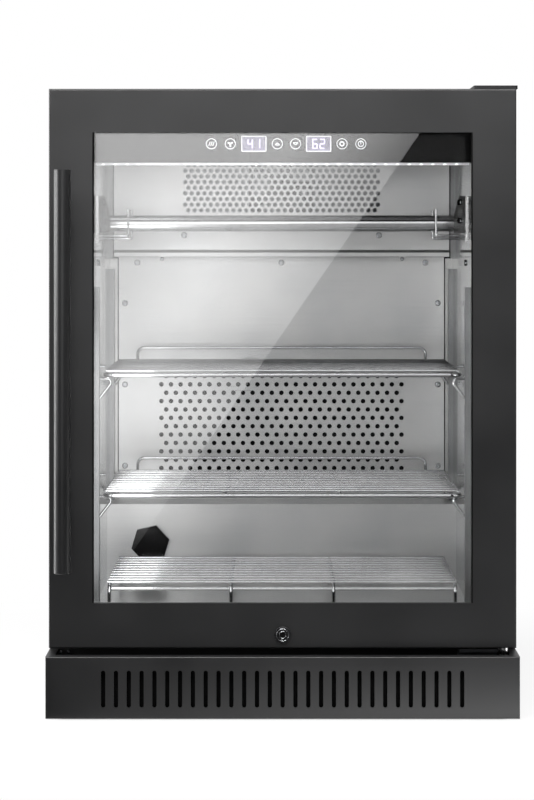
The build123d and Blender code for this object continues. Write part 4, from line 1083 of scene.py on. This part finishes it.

# Glazing beads: strips of soft black foam with rounded inner edges, pressed between the window's
# side edges and the outer pane. Their near-black tone is painted shade along the window's sides.
bead_width = 1.6 * mm
bead_round = 0.6 * bead_width
bead_set_back = 0.5 * mm
window_half = 240 * mm
window_foot = 144 * mm
window_top = 737.7 * mm
bead_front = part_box("door_skin")[0].y + bead_set_back
pane_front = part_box("glass_outer")[0].y
bead_y = (bead_front + pane_front) / 2
bead_x = window_half - bead_width / 2

beads = []
for side in (-1, 1):
    left, right = sorted((side * (window_half - bead_width), side * window_half))
    beads.append(
        block("bead", (left, bead_front, window_foot), (right, pane_front, window_top))
    )
    edit(lambda at, way: at.y < bead_y and side * at.x < bead_x and abs(way.z) > nearly, "EDGE")
    bpy.ops.mesh.bevel(offset=bead_round, segments=3)
    close_edit()
# Near-black foam on the beads: painted shade along the window's sides.
fit_piece(join(beads, "glazing_beads"), black_foam, "door")

# Lock: a die-cast zinc housing coated black, which holds a turned key cylinder of nickel-plated
# brass. The hinge bushes are turned brass too, pressed into the door's top and foot.
coated_zinc = grained(
    "black_coated_zinc",
    {"Metallic": 0.6},
    colours=("#1b1b1c", "#2a2a2c"),
    roughness=(0.22, 0.34),
    size=2 * mm,
    depth=0.01 * mm,
)
dress(coated_zinc, "lock_housing")
key_nickel = grained(
    "turned_nickel_cylinder",
    {"Metallic": 1.0},
    colours=("#3a3a3b", "#5c5c5e"),
    roughness=(0.2, 0.32),
    size=0.6 * mm,
    depth=0.02 * mm,
    stretch=(1, 0.05, 1),
)
dress(key_nickel, "lock_cylinder")
brass = grained(
    "turned_brass",
    {"Metallic": 1.0},
    colours=("#a9843f", "#c79f56"),
    roughness=(0.25, 0.35),
    size=0.6 * mm,
    depth=0.02 * mm,
    stretch=(1, 1, 0.05),
)
dress(brass, "hinge_bushes")

# Lock rims: the turned edges of the housing and of the key cylinder, drawn as thin rings of bright
# nickel. They are a painted highlight where light catches these edges.
housing_rim = 7.7 * mm
key_rim = 4.3 * mm
rim_thick = 0.35 * mm
rim_flat = 0.1
# Bright nickel rims: a painted highlight on the lock's edges.
worn = grained(
    "worn_nickel_rim",
    {"Metallic": 1.0},
    colours=("#77787a", "#a7a8aa"),
    roughness=(0.2, 0.32),
    size=1.5 * mm,
    depth=0.002 * mm,
)
housing_low, housing_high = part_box("lock_housing")
rim_z = (housing_low.z + housing_high.z) / 2
for name, node, radius, body in (
    ("lock_housing_rim", "lock_housing", housing_rim, "door"),
    ("lock_key_rim", "lock_cylinder", key_rim, "lock"),
):
    front_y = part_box(node)[0].y
    bpy.ops.mesh.primitive_torus_add(
        major_radius=radius,
        minor_radius=rim_thick,
        major_segments=48,
        minor_segments=10,
        location=(0, front_y, rim_z),
        rotation=(math.pi / 2, 0, 0),
    )
    rim = settle(name)
    edit(lambda at, way: at.y > front_y + rim_thick * 0.2)
    bpy.ops.transform.resize(value=(1, rim_flat, 1), center_override=(0, front_y, rim_z))
    close_edit()
    fit_piece(rim, worn, body)

# Floor: the pale floor of a studio. To the camera it is white all round, close to the cabinet it
# keeps a soft shadow, and under the cabinet it has only the light that gets there.
floor_size = 40
floor_colour = "#e4e4e4"
shade_half_x = 0.27
shade_half_y = 0.268
shade_edge = 0.012
near_white = 0.82
near_reach = 0.3
far_reach = 0.75

bpy.ops.mesh.primitive_plane_add(size=floor_size)
floor = bpy.context.object
floor.name = "studio_floor"
paint, tree, shader, places = start_material(
    "pale_floor", {"Base Color": linear(floor_colour), "Roughness": 0.9}
)
split = add_node(tree, "ShaderNodeSeparateXYZ", {}, [(0, places)])
outside = []
distance = []
for axis, reach in ((0, shade_half_x), (1, shade_half_y)):
    size = add_node(tree, "ShaderNodeMath", {"operation": "ABSOLUTE"}, [(0, split.outputs[axis])])
    distance.append(size)
    outside.append(
        add_node(tree, "ShaderNodeMapRange", {1: reach, 2: reach + shade_edge}, [(0, size)])
    )
clear, away = (
    add_node(tree, "ShaderNodeMath", {"operation": "MAXIMUM"}, [(0, pair[0]), (1, pair[1])])
    for pair in (outside, distance)
)
whiteness = add_node(
    tree,
    "ShaderNodeMapRange",
    {1: near_reach, 2: far_reach, 3: near_white, 4: 1.0},
    [(0, away)],
)
white = add_node(tree, "ShaderNodeEmission", {"Color": (1, 1, 1, 1), "Strength": 1.0})
rays = add_node(tree, "ShaderNodeLightPath", {})
seen = add_node(
    tree,
    "ShaderNodeMath",
    {"operation": "MULTIPLY"},
    [(0, rays.outputs["Is Camera Ray"]), (1, whiteness)],
)
share = add_node(tree, "ShaderNodeMath", {"operation": "MULTIPLY"}, [(0, seen), (1, clear)])
either = add_node(tree, "ShaderNodeMixShader", {}, [(0, share), (1, shader), (2, white)])
tree.links.new(either.outputs[0], find_node(tree, "OUTPUT_MATERIAL").inputs["Surface"])
floor.data.materials.append(paint)

# Room: white to the camera and a plain fill of light. It is dark behind the camera, so the glass
# and the coat mirror little of it, but light that left the cavity through all the panes' faces
# finds it bright, more so on the left.
room_fill = 0.38
room_mirror = 0.02
room_dark_y = -0.2
room_light_y = 0.3
through_right = 0.64
through_left = 1.8
through_reach = 0.25
pane_faces = 7
no_pane_face = 0.5

world = bpy.data.worlds.new("studio_room")
bpy.context.scene.world = world
world.use_nodes = True
tree = world.node_tree
tree.nodes.clear()
rays = add_node(tree, "ShaderNodeLightPath", {})
ways = tree.nodes.new("ShaderNodeTexCoord").outputs["Generated"]
split = add_node(tree, "ShaderNodeSeparateXYZ", {}, [(0, ways)])
sideways = add_node(
    tree,
    "ShaderNodeMapRange",
    {1: through_reach, 2: -through_reach, 3: through_right, 4: through_left},
    [(0, split)],
)
levels = []
for settings, links in (({3: room_mirror}, []), ({}, [(3, sideways)])):
    levels.append(
        add_node(
            tree,
            "ShaderNodeMapRange",
            {1: room_dark_y, 2: room_light_y, **settings},
            [(0, split.outputs[1]), *links],
        )
    )
mirrored = add_node(
    tree,
    "ShaderNodeMix",
    {"data_type": "FLOAT", 2: room_fill},
    [(0, rays.outputs["Is Glossy Ray"]), (3, levels[0])],
)
from_cavity = add_node(
    tree,
    "ShaderNodeMath",
    {"operation": "GREATER_THAN", 1: pane_faces},
    [(0, rays.outputs["Transmission Depth"])],
)
through = add_node(
    tree,
    "ShaderNodeMix",
    {"data_type": "FLOAT"},
    [(0, from_cavity), (2, mirrored), (3, levels[1])],
)
strength = add_node(
    tree,
    "ShaderNodeMix",
    {"data_type": "FLOAT", 3: 1.0},
    [(0, rays.outputs["Is Camera Ray"]), (2, through)],
)
room = add_node(tree, "ShaderNodeBackground", {"Color": (1, 1, 1, 1)}, [("Strength", strength)])
add_node(tree, "ShaderNodeOutputWorld", {}, [("Surface", room)])

# Studio lamps: a soft box above the door, one at the front left, a tall one behind the left edge
# for the handle's rim of light, the light strip's own light, and a weak one hidden in the cavity's
# left front corner, which stands for the light that comes in through the glass there.
strip_lamp_drop = 2 * mm
strip_lamp_width = 30 * mm


def soft_lamp(name, place, target, width, height, watts):
    """A rectangular lamp at a place that looks at a target, and isn't in the picture itself."""
    data = bpy.data.lights.new(name, "AREA")
    data.shape = "RECTANGLE"
    data.size = width
    data.size_y = height
    data.energy = watts
    lamp = bpy.data.objects.new(name, data)
    lamp.location = place
    lamp.rotation_euler = (Vector(target) - Vector(place)).to_track_quat("-Z", "Y").to_euler()
    lamp.visible_camera = False
    lamp.visible_transmission = False
    bpy.context.collection.objects.link(lamp)


soft_lamp(
    "top_lamp", place=(-0.05, -1.35, 1.8), target=(0, -0.2, 0.7), width=2.2, height=0.8, watts=88
)
soft_lamp(
    "left_lamp", place=(-1.7, -0.6, 0.95), target=(0, -0.2, 0.6), width=0.5, height=1.0, watts=24
)
soft_lamp(
    "handle_lamp",
    place=(-1.5, 0.2, 0.5),
    target=(-0.27, -0.3, 0.45),
    width=0.3,
    height=1.4,
    watts=17,
)
soft_lamp(
    "cabinet_lamp",
    place=(0, (strip_low.y + strip_high.y) / 2, strip_low.z - strip_lamp_drop),
    target=(0, 0.05, 0.2),
    width=strip_high.x - strip_low.x,
    height=strip_lamp_width,
    watts=0.085,
)
soft_lamp(
    "corner_lamp",
    place=(-0.21, -0.215, 0.29),
    target=(-0.1, 0.27, 0.27),
    width=0.07,
    height=0.36,
    watts=0.19,
)

# Standing board: a bright board before the cabinet, which shows in reflections alone. The glass
# mirrors its slanted edge, and its light falls off towards that edge and towards its foot.
card_y = -1.5
card_left = -0.42
card_top = 0.84
card_foot = 0.02
edge_high = (0.243, 0.786)
edge_low = (-0.216, 0.117)
card_light = 2.64
card_edge_share = 0.31
card_ramp = 0.208
card_full_height = 0.78
card_fade = 1.3
card_dim_low = 0.06
card_dim_high = 0.25
card_dim = 0.12
edge_slope = (edge_high[0] - edge_low[0]) / (edge_high[1] - edge_low[1])
edge_foot = edge_low[0] - edge_low[1] * edge_slope


def glowing_board(board, finish, light):
    """Lets a board shine with a light, and shows it in reflections alone."""
    tree = finish.node_tree
    glow = add_node(tree, "ShaderNodeEmission", {"Color": (1, 1, 1, 1)}, [("Strength", light)])
    tree.links.new(glow.outputs[0], find_node(tree, "OUTPUT_MATERIAL").inputs["Surface"])
    board.data.materials.append(finish)
    board.visible_camera = False
    board.visible_diffuse = False
    board.visible_shadow = False


bpy.ops.mesh.primitive_plane_add(size=1, location=(0, card_y, 0), rotation=(math.pi / 2, 0, 0))
card = settle("reflection_board")
corners = {
    (-1, -1): (card_left, card_foot),
    (1, -1): (edge_foot + edge_slope * card_foot, card_foot),
    (1, 1): (edge_foot + edge_slope * card_top, card_top),
    (-1, 1): (card_left, card_top),
}
for vertex in card.data.vertices:
    side = (round(math.copysign(1, vertex.co.x)), round(math.copysign(1, vertex.co.z)))
    vertex.co.x, vertex.co.z = corners[side]
white_board, tree, shader, places = start_material("bright_board", {"Roughness": 0.9})
split = add_node(tree, "ShaderNodeSeparateXYZ", {}, [(0, places)])
height = add_node(tree, "ShaderNodeMapRange", {2: card_full_height}, [(0, split.outputs[2])])
fade = add_node(tree, "ShaderNodeMath", {"operation": "POWER", 1: card_fade}, [(0, height)])
inwards = add_node(
    tree,
    "ShaderNodeVectorMath",
    {"operation": "DOT_PRODUCT", 1: (-1, 0, edge_slope)},
    [(0, places)],
)
across = add_node(
    tree,
    "ShaderNodeMapRange",
    {1: -edge_foot, 2: card_ramp - edge_foot},
    [(0, inwards.outputs["Value"])],
)
rise = add_node(tree, "ShaderNodeMath", {"operation": "MULTIPLY"}, [(0, fade), (1, across)])
shine = add_node(
    tree, "ShaderNodeMapRange", {3: card_light * card_edge_share, 4: card_light}, [(0, rise)]
)
foot = add_node(
    tree,
    "ShaderNodeMapRange",
    {1: card_dim_low, 2: card_dim_high, 3: card_dim, 4: 1.0},
    [(0, split.outputs[2])],
)
light = add_node(tree, "ShaderNodeMath", {"operation": "MULTIPLY"}, [(0, shine), (1, foot)])
glowing_board(card, white_board, light)

# Lying board: a second one on the floor before the plinth. It brightens to the right for the
# plinth, the panes don't mirror it, and it lights the cavity's steel from the left. It reaches
# past the floor's end, which would show as a bright line in the panes.
board_near = -0.29
board_far = -20.5
board_half = 2.4
board_height = 1 * mm
board_dark_x = -0.3
board_light_x = 0.32
board_light = 3.8
board_pool = 0.2
board_low = 0.02
inner_dark_x = -0.1
inner_light_x = -0.6
inner_dark = 0.35
inner_light = 6.0

bpy.ops.mesh.primitive_plane_add(size=1, location=(0, (board_near + board_far) / 2, board_height))
bpy.context.object.scale = (2 * board_half, board_near - board_far, 1)
lying = settle("lying_board")
white_board, tree, shader, places = start_material("lying_bright_board", {"Roughness": 0.9})
split = add_node(tree, "ShaderNodeSeparateXYZ", {}, [(0, places)])
across = add_node(
    tree,
    "ShaderNodeMapRange",
    {1: board_dark_x, 2: board_light_x, 4: board_light},
    [(0, split)],
)
pool = add_node(
    tree,
    "ShaderNodeMapRange",
    {1: board_near - board_pool, 2: board_near - board_pool / 2},
    [(0, split.outputs[1])],
)
near = add_node(
    tree, "ShaderNodeMix", {"data_type": "FLOAT", 2: board_low}, [(0, pool), (3, across)]
)
rays = add_node(tree, "ShaderNodeLightPath", {})
depth = rays.outputs["Transmission Depth"]
unglazed = add_node(
    tree, "ShaderNodeMath", {"operation": "LESS_THAN", 1: no_pane_face}, [(0, depth)]
)
outer = add_node(tree, "ShaderNodeMath", {"operation": "MULTIPLY"}, [(0, near), (1, unglazed)])
inner = add_node(
    tree,
    "ShaderNodeMapRange",
    {1: inner_dark_x, 2: inner_light_x, 3: inner_dark, 4: inner_light},
    [(0, split)],
)
from_cavity = add_node(
    tree, "ShaderNodeMath", {"operation": "GREATER_THAN", 1: pane_faces}, [(0, depth)]
)
light = add_node(
    tree, "ShaderNodeMix", {"data_type": "FLOAT"}, [(0, from_cavity), (2, outer), (3, inner)]
)
glowing_board(lying, white_board, light)

# Camera: a long lens, level and straight in front of the door at three quarters of the cabinet's
# height, with its frame shifted down onto the cabinet.
camera_distance = 3.634
camera_x = -0.011
eye_height = 0.608

camera_data = bpy.data.cameras.new("front_view")
camera_data.lens = 120.3
camera_data.sensor_width = 36.0
camera_data.shift_x = -0.0086
camera_data.shift_y = -0.206
camera = bpy.data.objects.new("front_view", camera_data)
camera.location = (camera_x, -camera_distance, eye_height)
camera.rotation_euler = (math.pi / 2, 0, 0)
bpy.context.collection.objects.link(camera)
bpy.context.scene.camera = camera

bpy.context.scene.view_settings.view_transform = "Standard"
